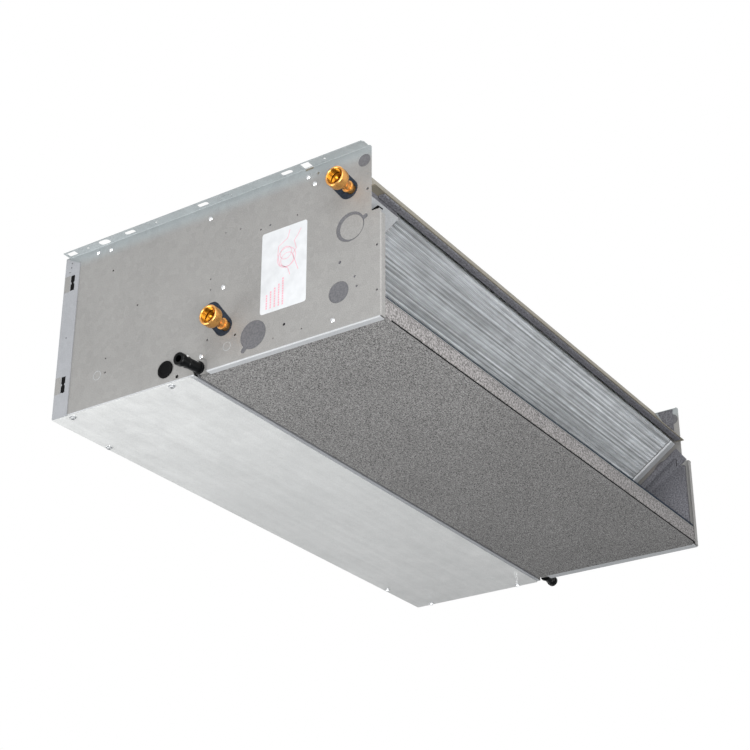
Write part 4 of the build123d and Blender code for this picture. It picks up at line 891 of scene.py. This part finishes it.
class FANCOIL_OT_end_panels(FanCoilStep, bpy.types.Operator):
    """Punched and folded end panels with their hanging flanges."""
    bl_idname = "fan_coil.end_panels"
    bl_label = "End panels"

    def make(self):
        for side, name in SIDES:
            node = f"{name}_end_panel"
            lips, rest = self.folds(side)
            skin = upright(-0.1 if side < 0 else CASE_LENGTH)
            # The pressed rings are thin rings of the lighter zinc, a painted highlight on their edges.
            rings = [plate([circle(s, h, r), circle(s, h, r - 0.7)], 0.1, skin) for s, h, r in PRESSED_RINGS]
            piece(f"{node}_sheet", joined([self.web(side), self.flange(side), *rest]), "zinc", [node], 14)
            piece(f"{node}_folds", joined(lips + rings), "lit_zinc")

    def web(self, side):
        """Flat of the panel, punched."""
        fold = sizes().fold_radius / MM
        top, back = CASE_HEIGHT, CASE_DEPTH - SHEET
        (s, h), room, cut = SPIGOT, SPIGOT_ROOM, top - SQUARE_CUT
        rim = [(fold, fold), (fold, LIP_TOP), (0, LIP_TOP), (0, STEP_HEIGHT), (STEP_BACK, STEP_HEIGHT),
               (STEP_BACK, top), (HANG_FRONT, top), (HANG_FRONT, top - fold), (SQUARE_FRONT, top - fold),
               (SQUARE_FRONT, cut), (SQUARE_BACK, cut), (SQUARE_BACK, top - fold), (HANG_BACK, top - fold),
               (HANG_BACK, top), (back, top), (back, fold), (s + room, fold), (s + room, h + room),
               (s - room, h + room), (s - room, fold)]
        rim = rounded(rim, {3: 5.0, 5: 3.5, 17: 6.0, 18: 6.0})
        holes = [circle(*place, 12) for place in SMALL_HOLES if side < 0 or place[0] > WET_END_HOLES]
        holes += [circle(*place) for place in KNOCK_OUTS]
        holes += [keyhole(*place) for place in (UPPER_KEYHOLE, LOWER_KEYHOLE)]
        holes += hook_openings()
        if side < 0:
            holes += [slot(*place) for place in PIPE_SLOTS] + [circle(*CABLE_HOLE, 9.0)]
        return plate([rim, *holes], SHEET, upright(0 if side < 0 else CASE_LENGTH - SHEET), 0.08)

    def folds(self, side):
        """Turned-in bottom edges, and the front edge with the bend up to the hanging flange."""
        fold = sizes().fold_radius / MM
        thickness = SHEET if side < 0 else -SHEET

        def section(*points):
            return fold_section([(mirror_along(side, u), v) for u, v in points], fold, thickness)

        lip, foot = [section((0, fold), (0, 0), (width, 0))
                     for width in (TURN_IN, TURN_IN if side < 0 else DRY_TURN_IN)]
        bend = section((SHEET, CASE_HEIGHT - fold), (SHEET, CASE_HEIGHT), (SHEET - fold, CASE_HEIGHT))
        backward = level(0) @ REARWARD
        lips = [swept(foot, fold, SPIGOT[0] - SPIGOT_ROOM, backward),
                swept(lip, SPIGOT[0] + SPIGOT_ROOM, CASE_DEPTH - SHEET, backward)]
        rest = [swept(lip, fold, LIP_TOP, level(0)), swept(bend, HANG_FRONT, SQUARE_FRONT, backward),
                swept(bend, SQUARE_BACK, HANG_BACK, backward)]
        return lips, rest

    def flange(self, side):
        """Level flange with its hanging slots, a square opening, a lanced tab and a corner opening."""
        inner = SHEET - sizes().fold_radius / MM
        rim = [(-HANG_WIDTH, HANG_FRONT + 2), (-HANG_WIDTH + 3, HANG_FRONT), (inner, HANG_FRONT),
               (inner, HANG_BACK), (-HANG_WIDTH, HANG_BACK)]
        holes = [slot(*place) for place in HANG_SLOTS]
        holes += [rectangle(-11, inner - 0.3, SQUARE_FRONT, SQUARE_BACK), rectangle(*CORNER_OPENING)]
        holes += [circle(*place, 12) for place in HANG_HOLES] + [LANCED_TAB]
        outlines = [[(mirror_along(side, u), v) for u, v in points] for points in (rim, *holes)]
        return plate(outlines, SHEET, level(CASE_HEIGHT - SHEET), 0.08)


def hook_openings():
    """Openings of the end panels over the rear frame's hook slots."""
    return [rectangle(s - 2.4, s + 2.4, h - 12, h + 12) for s, h in HOOKS]


class FANCOIL_OT_knock_out_pads(FanCoilStep, bpy.types.Operator):
    """Foam and sheet that show through the knock-outs."""
    bl_idname = "fan_coil.knock_out_pads"
    bl_label = "Knock-out pads"

    def make(self):
        gap = 0.02
        (s, h, radius, *tail), (s1, h1, radius1, *tail1) = UPPER_KEYHOLE, LOWER_KEYHOLE
        for side, name in SIDES:
            # The pads fill the knock-outs from behind, up to half the thickness of the sheet.
            outside, inside = (0.55, 0.95) if side < 0 else (CASE_LENGTH - 0.95, CASE_LENGTH - 0.55)
            pads = [circle(u, v, r - gap) for u, v, r in KNOCK_OUTS]
            pads.append(keyhole(s1, h1, radius1 - gap, *tail1))
            pads = upright_plates(pads, inside - outside, outside)
            pad(f"{name}_knock_out_foam", joined(pads), "knock_out", angle=30)
            # Behind the upper keyhole a light stiffening plate shows, set off centre so that a crescent of
            # darker foam beside it paints the shade of the hole's wall.
            behind = upright_plates([keyhole(s, h, radius - gap, *tail)], 0.2, outside + 0.2)
            pad(f"{name}_keyhole_foam", joined(behind), "knock_out", angle=30)
            cover = upright_plates([circle(s - 1.8, h - 1.0, radius - 3.3)], 0.2,
                                   outside - 0.05 if side < 0 else inside)
            skin = -1.06 if side < 0 else CASE_LENGTH + 1.01
            # Thin rectangles of the darker zinc beside the hook slots paint the shade of a pressed recess.
            hook_shade_marks = [rectangle(u + 4, u + 12.6, v - 11, v + 11) for u, v in HOOKS]
            piece(f"{name}_keyhole_plate", joined(cover + upright_plates(hook_shade_marks, 0.05, skin)), "zinc")
            # The end panels' openings over the hook slots are filled with near-black plates, and the frame's
            # own hook slots and small holes are drawn as thin near-black plates on its face: painted shade of
            # the inside seen through them. The slots are wider outside than inside.
            marks = [[(u + way * a, v + way * b) for way in (1, -1) for a, b in HOOK_SLOT] for u, v in HOOKS]
            marks += [circle(u, v, 0.8, 12) for u, v in FRAME_HOLE_SHADES]
            hooks = upright_plates(hook_openings(), 0.3, outside) + upright_plates(marks, 0.05, skin)
            piece(f"{name}_hook_recess", joined(hooks), "dark")
        seals = [plate([slot(u, v, length - 2 * gap, width - 2 * gap, lean), circle(*port, PIPE_NECK)], 0.4,
                       upright(0.55)) for port, (u, v, length, width, lean) in zip(PORTS, PIPE_SLOTS)]
        pad("pipe_slot_foam", joined(seals), "seal", angle=30)


class FANCOIL_OT_fasteners(FanCoilStep, bpy.types.Operator):
    """Hex washer screws and blind rivets of the casing."""
    bl_idname = "fan_coil.fasteners"
    bl_label = "Screws and rivets"

    def make(self):
        screws = [(spot(x, s, -SHEET), (0, 0, -1)) for x, s in ACCESS_SCREWS]
        screws += [(spot(x, CASE_DEPTH, h), (0, 1, 0)) for x, h in FRAME_SCREWS]
        low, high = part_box("terminal_box_cover")
        inset = 0.009
        screws += [(Vector((high.x, y, z)), (1, 0, 0)) for y in (low.y + inset, high.y - inset)
                   for z in (low.z + inset, high.z - inset)]
        self.heads("casing_screws", screw_tree(), screws, {"Washer radius": sizes().screw_washer})
        rivets = [(spot(mirror_along(side, 0), s, h), (side, 0, 0))
                  for side, _ in SIDES for s, h in PANEL_RIVETS]
        rivets += [(spot(CASE_LENGTH * (i + 0.5) / 8, s, CASE_HEIGHT - 0.001), (0, 0, 1)) for i in range(8)
                   for s in (60, 448)]
        self.heads("casing_rivets", rivet_tree(), rivets, {"Head radius": sizes().rivet_head})

    def heads(self, name, tree, places, values):
        piece(name, grow(tree, seeds(places), "screws", values), "screws")


class FANCOIL_OT_sheet_metal(FanCoilStep, bpy.types.Operator):
    """Materials of the other sheet-metal pieces, and the access panel with eased edges."""
    bl_idname = "fan_coil.sheet_metal"
    bl_label = "Sheet metal"

    def make(self):
        dress("warm_zinc", "ceiling_panel")
        dress("zinc", "drain_pan", "fan_deck", "left_scroll", "right_scroll", "motor_cradle", "coil_brackets",
              "terminal_box", "filter_stops")
        dress("bright_zinc", "rear_frame", "centre_rail", "terminal_box_cover")
        dress("lit_zinc", "left_coil_plate", "right_coil_plate", "header_cover")
        # The access panel's front edge covers the rail up to the pan's foam.
        front = case_box("access_panel")[0][1] - RAIL_COVER
        rim = rounded(rectangle(0, CASE_LENGTH, front, CASE_DEPTH), 1.5, 3)
        piece("access_panel_sheet", plate([rim], SHEET, level(-SHEET), 0.2), "pale_zinc", ["access_panel"])


class FANCOIL_OT_foam(FanCoilStep, bpy.types.Operator):
    """Foam jacket of the drain pan, foam linings, flange strip and the soft pads round the water pipes."""
    bl_idname = "fan_coil.foam"
    bl_label = "Foam"

    def make(self):
        edge, across = sizes().foam_edge / MM, upright(0)
        (x0, _, _), (x1, rear, top) = case_box("drain_pan_foam")
        # The sheet under the pan and the strip on its front are two pieces; the joint between them is real,
        # and the near-black bar in it is painted shade.
        base = rounded([(2.2, 0), (rear, 0), (rear, 3.0), (4.2, 3.0), (4.2, 4.7), (2.2, 4.7)],
                       {0: 1.6, 1: edge, 2: edge, 5: edge}, 4)
        base = swept(base, x0, CASE_LENGTH - DRY_TURN_IN - 0.3, across)
        pad("pan_foam_base", base, "foam", ["drain_pan_foam"])
        front = rounded([(1.3, 6.7), (4.2, 6.7), (4.2, top), (1.3, top)], {0: edge, 2: edge, 3: 1.2}, 4)
        joint = x0 + 14
        strip = [swept(front, x0, x1, across), bar((x0, 1.9, 4.6), (joint, 4.1, 6.8))]
        pad("pan_foam_front", joined(strip), "front_foam")
        piece("pan_foam_joint", bar((joint, 2.6, 4.6), (x1, 4.15, 6.8)), "dark")
        # A strip of dark seal foam, painted shade, fills the gap from the pan's front lip to the coil; it
        # widens towards the dry end.
        gap = [(x0, top + 1.0), (x1, top + 1.0), (x1, top + 5.2), (x0, top + 3.4)]
        pad("pan_coil_seal", plate([gap], 0.6, Matrix.Translation(spot(0, 2.6, 0)) @ ALONG_FRONT), "seal")
        # A dark strip closes the gap over the sheet beside the coil.
        pad("coil_top_seal", bar((SHEET + 1, 17.9, 153.5), (59.5, 19.5, 164.5)), "lining")
        # The lining stops short of the panel's front edge, which stays bare.
        corner = rounded([(20.5, 213.5), (43, 213.5), (22.5, 167.5), (20.5, 167.5)], 0.8, 2)
        for name, a in (("left", SHEET), ("right", CASE_LENGTH - SHEET - 1.5)):
            pad(f"{name}_front_corner_lining", swept(corner, a, a + 1.5, across), "lining")
        # Beside the coil the dry end is lined up to the coil's end plate.
        a = CASE_LENGTH - SHEET - 1.2
        pad("coil_side_lining", swept(coil_outline(4, 168, -1.5, -26), a, a + 1.2, across), "lining")
        for node in ("outlet_flange_foam", "left_panel_lining", "right_panel_lining", "ceiling_lining",
                     "pipe_seals"):
            pad(f"{node}_pad", softened(node, edge), "seal" if node == "pipe_seals" else "lining", [node])


class FANCOIL_OT_coil(FanCoilStep, bpy.types.Operator):
    """Corrugated fins near their real pitch, return bends, and the copper pipework."""
    bl_idname = "fan_coil.coil"
    bl_label = "Water coil"

    def make(self):
        low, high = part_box("coil_fins")
        pitch, wave = sizes().fin_pitch, sizes().fin_wave
        width = (high.x - low.x) - wave - 2 * MM
        count = int(width / pitch) + 1
        start = (low.x - LEFT) / MM + 1 + (width - (count - 1) * pitch) / MM / 2
        made = grow(fin_tree(), bpy.data.meshes.new("start"), "fins",
                    {"Count": count, "Pitch": pitch, "Waves": sizes().fin_waves, "Wave height": wave})
        middle = spot(start, *coil_place(COIL_FACE / 2, COIL_ROWS / 2))
        made.transform(Matrix.Translation(middle) @ Matrix.Rotation(-COIL_TILT, 4, "X"))
        piece("coil_fin_pack", made, "fins", ["coil_fins"], 5)
        # A white strip on the dry end plate's front edge is a painted highlight.
        edge, a = coil_outline(0, COIL_FACE, -0.1, -0.7), case_box("right_coil_plate")[0][0]
        piece("dry_plate_bright_edge", swept(edge, a - 2.4, a + 2.4, upright(0)), "label")
        dress("copper", "coil_tubes", "return_header", "supply_header")
        dress("brass", "header_valve_seats", "air_vent_screw", "coil_drain_screw")
        tree, last = bend_tree(), TUBES_PER_ROW - 1
        # The bends leave from the plates' own faces, a sheet's thickness beyond the fins.
        wet = [((row, i), (row, i + 1)) for row, first in ((0, 0), (1, 2)) for i in range(first, last - 1, 2)]
        dry = [((row, i), (row, i + 1)) for row in (0, 1) for i in range(1, last, 2)] + [((0, 0), (1, 0))]
        faces = case_box("left_coil_plate")[1][0] - SHEET, case_box("right_coil_plate")[0][0] + SHEET
        for (way, name), runs, face in zip(SIDES, (wet, dry), faces):
            node = f"{name}_return_bends"
            made = grow(tree, self.bend_seeds(runs, face, way), "copper", {})
            piece(f"{node}_tube", made, "copper", [node], 50)

    def bend_seeds(self, runs, face, way):
        """Loose points midway between two tubes, each with the turn of its bend."""
        places, outward = [], Vector((way, 0, 0))
        for a, b in runs:
            start, end = self.tube(face, *a), self.tube(face, *b)
            chord = (end - start).normalized()
            turn = Matrix((chord, outward, chord.cross(outward))).transposed()
            places.append(((start + end) / 2, Vector(turn.to_euler())))
        return seeds(places)

    def tube(self, along, row, index):
        """Place of one tube; the front row is set half a pitch lower."""
        stagger = TUBE_PITCH / 2 if row == 0 else 0
        down = TUBE_PITCH / 4 + stagger + index * TUBE_PITCH
        return spot(along, *coil_place(down, (row + 0.5) * ROW_PITCH))


class FANCOIL_OT_water_connections(FanCoilStep, bpy.types.Operator):
    """Brass unions with a tapered cup, a female thread and a soldered neck."""
    bl_idname = "fan_coil.water_connections"
    bl_label = "Water connections"

    def make(self):
        for name, port in zip(("upper", "lower"), PORTS):
            node, place = f"{name}_water_connection", spot(0, *port)
            piece(f"{node}_union", moved(turned(UNION, 64), place), "brass", [node], 35)
            # The bore and thread take the darker brass, painted shade inside the mouth.
            bore = joined([turned(UNION_BORE, 64, ring=True), self.thread()])
            piece(f"{node}_bore", moved(bore, place), "brass_bore", (), 35)

    def thread(self):
        """Ridge of the inside thread, on a helix."""
        pitch, work, sections = sizes().thread_pitch, bmesh.new(), []
        mouth, turns, steps = -31.0 * MM, 4, 40
        for i in range(turns * steps + 1):
            angle, x = math.tau * i / steps, mouth + pitch * i / steps
            sections.append([work.verts.new((x + shift * pitch, radius * MM * math.cos(angle),
                                             radius * MM * math.sin(angle)))
                             for shift, radius in ((-0.46, 9.42), (0.0, 8.5), (0.46, 9.42))])
        for a, b in zip(sections, sections[1:]):
            bridge(work, a, b)
        for end in (sections[0], sections[-1]):
            work.faces.new(end)
        return closed(work)


class FANCOIL_OT_drain_and_cable(FanCoilStep, bpy.types.Operator):
    """Drain spigots, the blind bush of the cable hole and the glands of the terminal box."""
    bl_idname = "fan_coil.drain_and_cable"
    bl_label = "Drain and cable fittings"

    def make(self):
        for side, name in SIDES:
            # The outlet on the dry side is cut shorter.
            share = 1.0 if side < 0 else DRY_SPIGOT_SHARE
            mesh = turned([(side * -x * share, r) for x, r in SPIGOT_TUBE], 40, ring=True)
            # The spigots droop a little, so that the pan drains.
            mesh.transform(Matrix.Rotation(side * SPIGOT_DROOP, 4, "Y"))
            moved(mesh, spot(mirror_along(side, 0), SPIGOT[0] + 1.0, SPIGOT[1] - 2.0))
            node = f"{name}_drain_spigot"
            piece(f"{node}_moulding", mesh, "black", [node], 35)
        # The blind bush is near-black: its own black rubber, deepened to paint the shade of the hole.
        bush = moved(turned(CABLE_BUSH), spot(0, *CABLE_HOLE))
        piece("cable_entry_bush_moulding", bush, "dark", ["cable_entry_bush"], 35)
        # Painted shadow: a small bent near-black strip along the step of the wet end panel.
        piece("step_clip", swept(STEP_SHADOW, 1.4, 4.4, upright(0)), "dark")
        low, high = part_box("cable_glands")
        glands, foot = [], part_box("terminal_box")[0].z
        for y in (low.y + 0.008, high.y - 0.008):
            mesh = turned(GLAND, 36, ring=True)
            mesh.transform(Matrix.Rotation(-QUARTER_TURN, 4, "Y"))
            glands.append(moved(mesh, Vector(((low.x + high.x) / 2, y, foot))))
        piece("cable_gland_mouldings", joined(glands), "black", ["cable_glands"], 35)
        dress("terminal", "terminal_block")


class FANCOIL_OT_blowers(FanCoilStep, bpy.types.Operator):
    """Blower wheels with forward-curved blades, the motor, its mounts and the capacitor."""
    bl_idname = "fan_coil.blowers"
    bl_label = "Blowers and motor"

    def make(self):
        tree, axis = wheel_tree(), spot(CASE_LENGTH / 2, *SHAFT)
        inner, outer = WHEEL_RADIUS - BLADE_DEPTH, WHEEL_RING_OUTER
        for side, name in SIDES:
            parts = [grow(tree, self.blade(), "wheel", {"Blade count": sizes().blade_count})]
            for way in (-1, 1):
                a, b = way * WHEEL_WIDTH / 2, way * (WHEEL_WIDTH / 2 - WHEEL_RING_WIDTH)
                rim = [(a, inner), (b, inner), (b, WHEEL_RADIUS), (b, outer - 0.4), (a - way * 0.4, outer),
                       (a, outer - 0.4)]
                parts.append(turned(rim, 72, ring=True))
            parts.append(turned(WHEEL_DISC, 72, ring=True))
            mesh = moved(joined(parts), axis + Vector((side * FAN_OFFSET * MM, 0, 0)))
            nodes = [f"{name}_impeller", f"{name}_wheel_rings"]
            piece(f"{name}_blower_wheel", mesh, "wheel", nodes, 35, "fan")
        shell = MOTOR_END + tuple((-x, r) for x, r in MOTOR_END[::-1])
        piece("motor_shell", moved(turned(shell, 72, ring=True), axis), "motor", ["motor"])
        low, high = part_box("run_capacitor")
        piece("run_capacitor_can", moved(turned(CAPACITOR), (low + high) / 2), "can", ["run_capacitor"])
        dress("steel", "fan_shaft")
        dress("bronze", "motor_bearings")
        dress("grey_rubber", "motor_mount_rings")

    def blade(self):
        """One forward-curved blade on each side of the wheel's disc."""
        steps = 6
        front = [(WHEEL_RADIUS - BLADE_DEPTH * (1 - t), 3.8 * t * t - 2.6 * math.sin(math.pi * t))
                 for t in (i / steps for i in range(steps + 1))]
        section = front + [(u, v + BLADE_SHEET) for u, v in reversed(front)]
        return joined([swept(section, way * 0.7, way * (WHEEL_WIDTH / 2 - 2.0), ACROSS) for way in (-1, 1)])


class FANCOIL_OT_air_filter(FanCoilStep, bpy.types.Operator):
    """Filter cloth stretched in its frame, with the net that holds it."""
    bl_idname = "fan_coil.air_filter"
    bl_label = "Air filter"

    def make(self):
        low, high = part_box("filter_mesh")
        width, height = high.x - low.x, high.z - low.z
        belly, bays = 0.35 * MM, 4
        work = bmesh.new()
        bmesh.ops.create_grid(work, x_segments=72, y_segments=18, size=0.5)
        for vert in work.verts:
            u, v = vert.co.x + 0.5, vert.co.y + 0.5
            # The cloth bellies a little between the bars of the frame.
            sag = belly * abs(math.sin(math.pi * u * bays)) * math.sin(math.pi * v)
            vert.co = Vector((low.x + u * width, (low.y + high.y) / 2 - sag, low.z + v * height))
        cloth = piece("filter_cloth", closed(work, outward=False), "cloth", ["filter_mesh"], 60, "filter")
        thick = cloth.modifiers.new("thickness", "SOLIDIFY")
        thick.thickness, thick.offset = 0.6 * MM, 0
        solid = evaluated(cloth)
        cloth.modifiers.remove(thick)
        cloth.data = solid
        made = grow(net_tree(), bpy.data.meshes.new("start"), "net",
                    {"Width": width, "Height": height, "Pitch": sizes().net_pitch, "Thread": 0.5 * MM})
        place = (low + high) / 2
        place.y = high.y + 0.7 * MM
        piece("filter_net_threads", moved(made, place), "net", body="filter")
        dress("filter", "filter_frame")


class FANCOIL_OT_label(FanCoilStep, bpy.types.Operator):
    """Bare label on the wet end panel, with plain lines in place of print."""
    bl_idname = "fan_coil.label"
    bl_label = "Label"

    def make(self):
        piece("label_film", plate([rounded(rectangle(*LABEL), 3.0, 4)], 0.12, upright(-0.12)), "label")
        marks = [[circle(u, v, radius, 40), circle(u, v, radius - 0.6, 40)]
                 for u, v, radius in ((124, 116, 8.0), (122, 107, 9.0), (123, 110, 12.5))]
        for line in (((104, 141), (108, 134), (113, 128), (110, 118), (115, 111), (111, 101), (107, 90)),
                     ((119, 144), (122, 134), (134, 127), (135, 116), (132, 103), (121, 96), (118, 87))):
            for (u0, v0), (u1, v1) in zip(line, line[1:]):
                way = Vector((u1 - u0, v1 - v0)).normalized() * 0.35
                marks.append([[(u0 - way.y, v0 + way.x), (u0 + way.y, v0 - way.x), (u1 + way.y, v1 - way.x),
                               (u1 - way.y, v1 + way.x)]])
        for i, count in enumerate((11, 9, 8, 7, 6)):
            u, v = 126 + i * 5.4, LABEL[2] + 5
            marks += [[rectangle(u, u + 1.9, v + 3.1 * k, v + 3.1 * k + 2.3)] for k in range(count)]
        piece("label_lines", joined([plate(mark, 0.05, upright(-0.17)) for mark in marks]), "ink")


# Lamps: name, place, size and power. The front ones are to the left, as in the picture.
LAMPS = (("key", (-1.6, -1.15, 0.4), 1.0, 12.0), ("front", (-0.95, -1.9, -0.85), 1.0, 15.0),
         ("camera_side", (-1.5, -1.25, -1.2), 0.8, 32.0), ("below", (-0.75, 0.75, -0.87), 0.8, 10.8),
         ("top", (0.4, 0.6, 2.4), 2.5, 20.0))
LAMP_TARGET = Vector((0, 0, -0.11))
FLOOR_REACH, FLOOR_HEIGHT, FLOOR_COLOUR = 6.0, -2.9, linear("F2F2F2")
CAMERA_PLACE, CAMERA_TURN, CAMERA_RISE, CAMERA_LENS = (-1270.65, -834.54, -831.54), 0.5853, 0.46564, 81.27


def pointed(name, data, place, way):
    """Lamp or camera at a place, looking along a direction."""
    made = linked(name, data)
    made.location = place
    made.rotation_mode = "QUATERNION"
    made.rotation_quaternion = way.to_track_quat("-Z", "Y")
    return made


class FANCOIL_OT_stage(FanCoilStep, bpy.types.Operator):
    """Pale floor, soft studio light and the camera, which looks up at the hung unit."""
    bl_idname = "fan_coil.stage"
    bl_label = "Stage"

    def make(self):
        self.floor()
        self.world()
        for name, place, size, watts in LAMPS:
            lamp = bpy.data.lights.new(name, "AREA")
            lamp.energy, lamp.size = watts * sizes().lamp_power, size
            pointed(name, lamp, place, LAMP_TARGET - Vector(place)).visible_camera = False
        self.camera()
        bpy.context.scene.view_settings.view_transform = "Standard"

    def floor(self):
        """Seamless pale floor, well below the hung unit, with a faint unevenness."""
        mesh = bpy.data.meshes.new("floor")
        corners = rectangle(-FLOOR_REACH, FLOOR_REACH, -FLOOR_REACH, FLOOR_REACH)
        mesh.from_pydata([(x, y, FLOOR_HEIGHT) for x, y in corners], [], [(0, 1, 2, 3)])
        material, tree, shader, where = shaded("Pale studio floor", FLOOR_COLOUR, 0.9)
        coloured(tree, shader, FLOOR_COLOUR, changing(tree, where, 900.0, 0.98, 1.02))
        mesh.materials.append(material)
        linked("floor", mesh)

    def world(self):
        """White to the camera and in reflections, and a soft grey light on the unit."""
        world = bpy.context.scene.world or bpy.data.worlds.new("studio")
        bpy.context.scene.world = world
        world.use_nodes = True
        tree = world.node_tree
        tree.nodes.clear()
        rays = add(tree, "ShaderNodeLightPath").outputs
        seen = calc(tree, "MAXIMUM", rays["Is Camera Ray"], rays["Is Transmission Ray"])
        white = calc(tree, "MAXIMUM", seen, rays["Is Glossy Ray"])
        both = add(tree, "ShaderNodeMixShader", {0: white})
        for i, (colour, strength) in enumerate((((0.93, 0.96, 1.0, 1), 0.27), ((1, 1, 1, 1), 1.0))):
            light = out(tree, "ShaderNodeBackground", {"Color": colour, "Strength": strength})
            tree.links.new(light, both.inputs[1 + i])
        add(tree, "ShaderNodeOutputWorld", {"Surface": both.outputs[0]})

    def camera(self):
        """Camera of the picture: an 81 mm lens, 27 degrees upward, 34 degrees round from the long side."""
        lens = bpy.data.cameras.new("camera")
        lens.sensor_width, lens.lens = 36.0, CAMERA_LENS
        lens.clip_start, lens.clip_end = 0.05, 50.0
        look = Vector((math.cos(CAMERA_RISE) * math.cos(CAMERA_TURN),
                       math.cos(CAMERA_RISE) * math.sin(CAMERA_TURN), math.sin(CAMERA_RISE)))
        bpy.context.scene.camera = pointed("camera", lens, spot(*CAMERA_PLACE), look)


STEPS = (FANCOIL_OT_sheet_metal, FANCOIL_OT_end_panels, FANCOIL_OT_knock_out_pads, FANCOIL_OT_fasteners,
         FANCOIL_OT_foam, FANCOIL_OT_coil, FANCOIL_OT_water_connections, FANCOIL_OT_drain_and_cable,
         FANCOIL_OT_blowers, FANCOIL_OT_air_filter, FANCOIL_OT_label, FANCOIL_OT_stage)


class FANCOIL_PT_unit(bpy.types.Panel):
    """Sizes, colours and making of the fan coil unit."""
    bl_idname = "FANCOIL_PT_unit"
    bl_label = "Fan coil unit"
    bl_space_type = "VIEW_3D"
    bl_region_type = "UI"
    bl_category = "Fan coil"

    def draw(self, context):
        column = self.layout.column(align=True)
        for step in STEPS:
            column.operator(step.bl_idname)
        scene = context.scene
        for heading, group in (("Sizes", scene.fan_coil_sizes), ("Colours", scene.fan_coil_colours)):
            box = self.layout.box()
            box.label(text=heading)
            for name in group.__annotations__:
                box.prop(group, name)


CLASSES = (FanCoilColours, FanCoilSizes, *STEPS, FANCOIL_PT_unit)


def register():
    for kind in CLASSES:
        bpy.utils.register_class(kind)
    bpy.types.Scene.fan_coil_colours = bpy.props.PointerProperty(type=FanCoilColours)
    bpy.types.Scene.fan_coil_sizes = bpy.props.PointerProperty(type=FanCoilSizes)


def unregister():
    del bpy.types.Scene.fan_coil_sizes
    del bpy.types.Scene.fan_coil_colours
    for kind in reversed(CLASSES):
        bpy.utils.unregister_class(kind)


def main():
    """Makes the whole unit."""
    register()
    for step in STEPS:
        family, name = step.bl_idname.split(".")
        getattr(getattr(bpy.ops, family), name)()


if __name__ == "__main__":
    main()
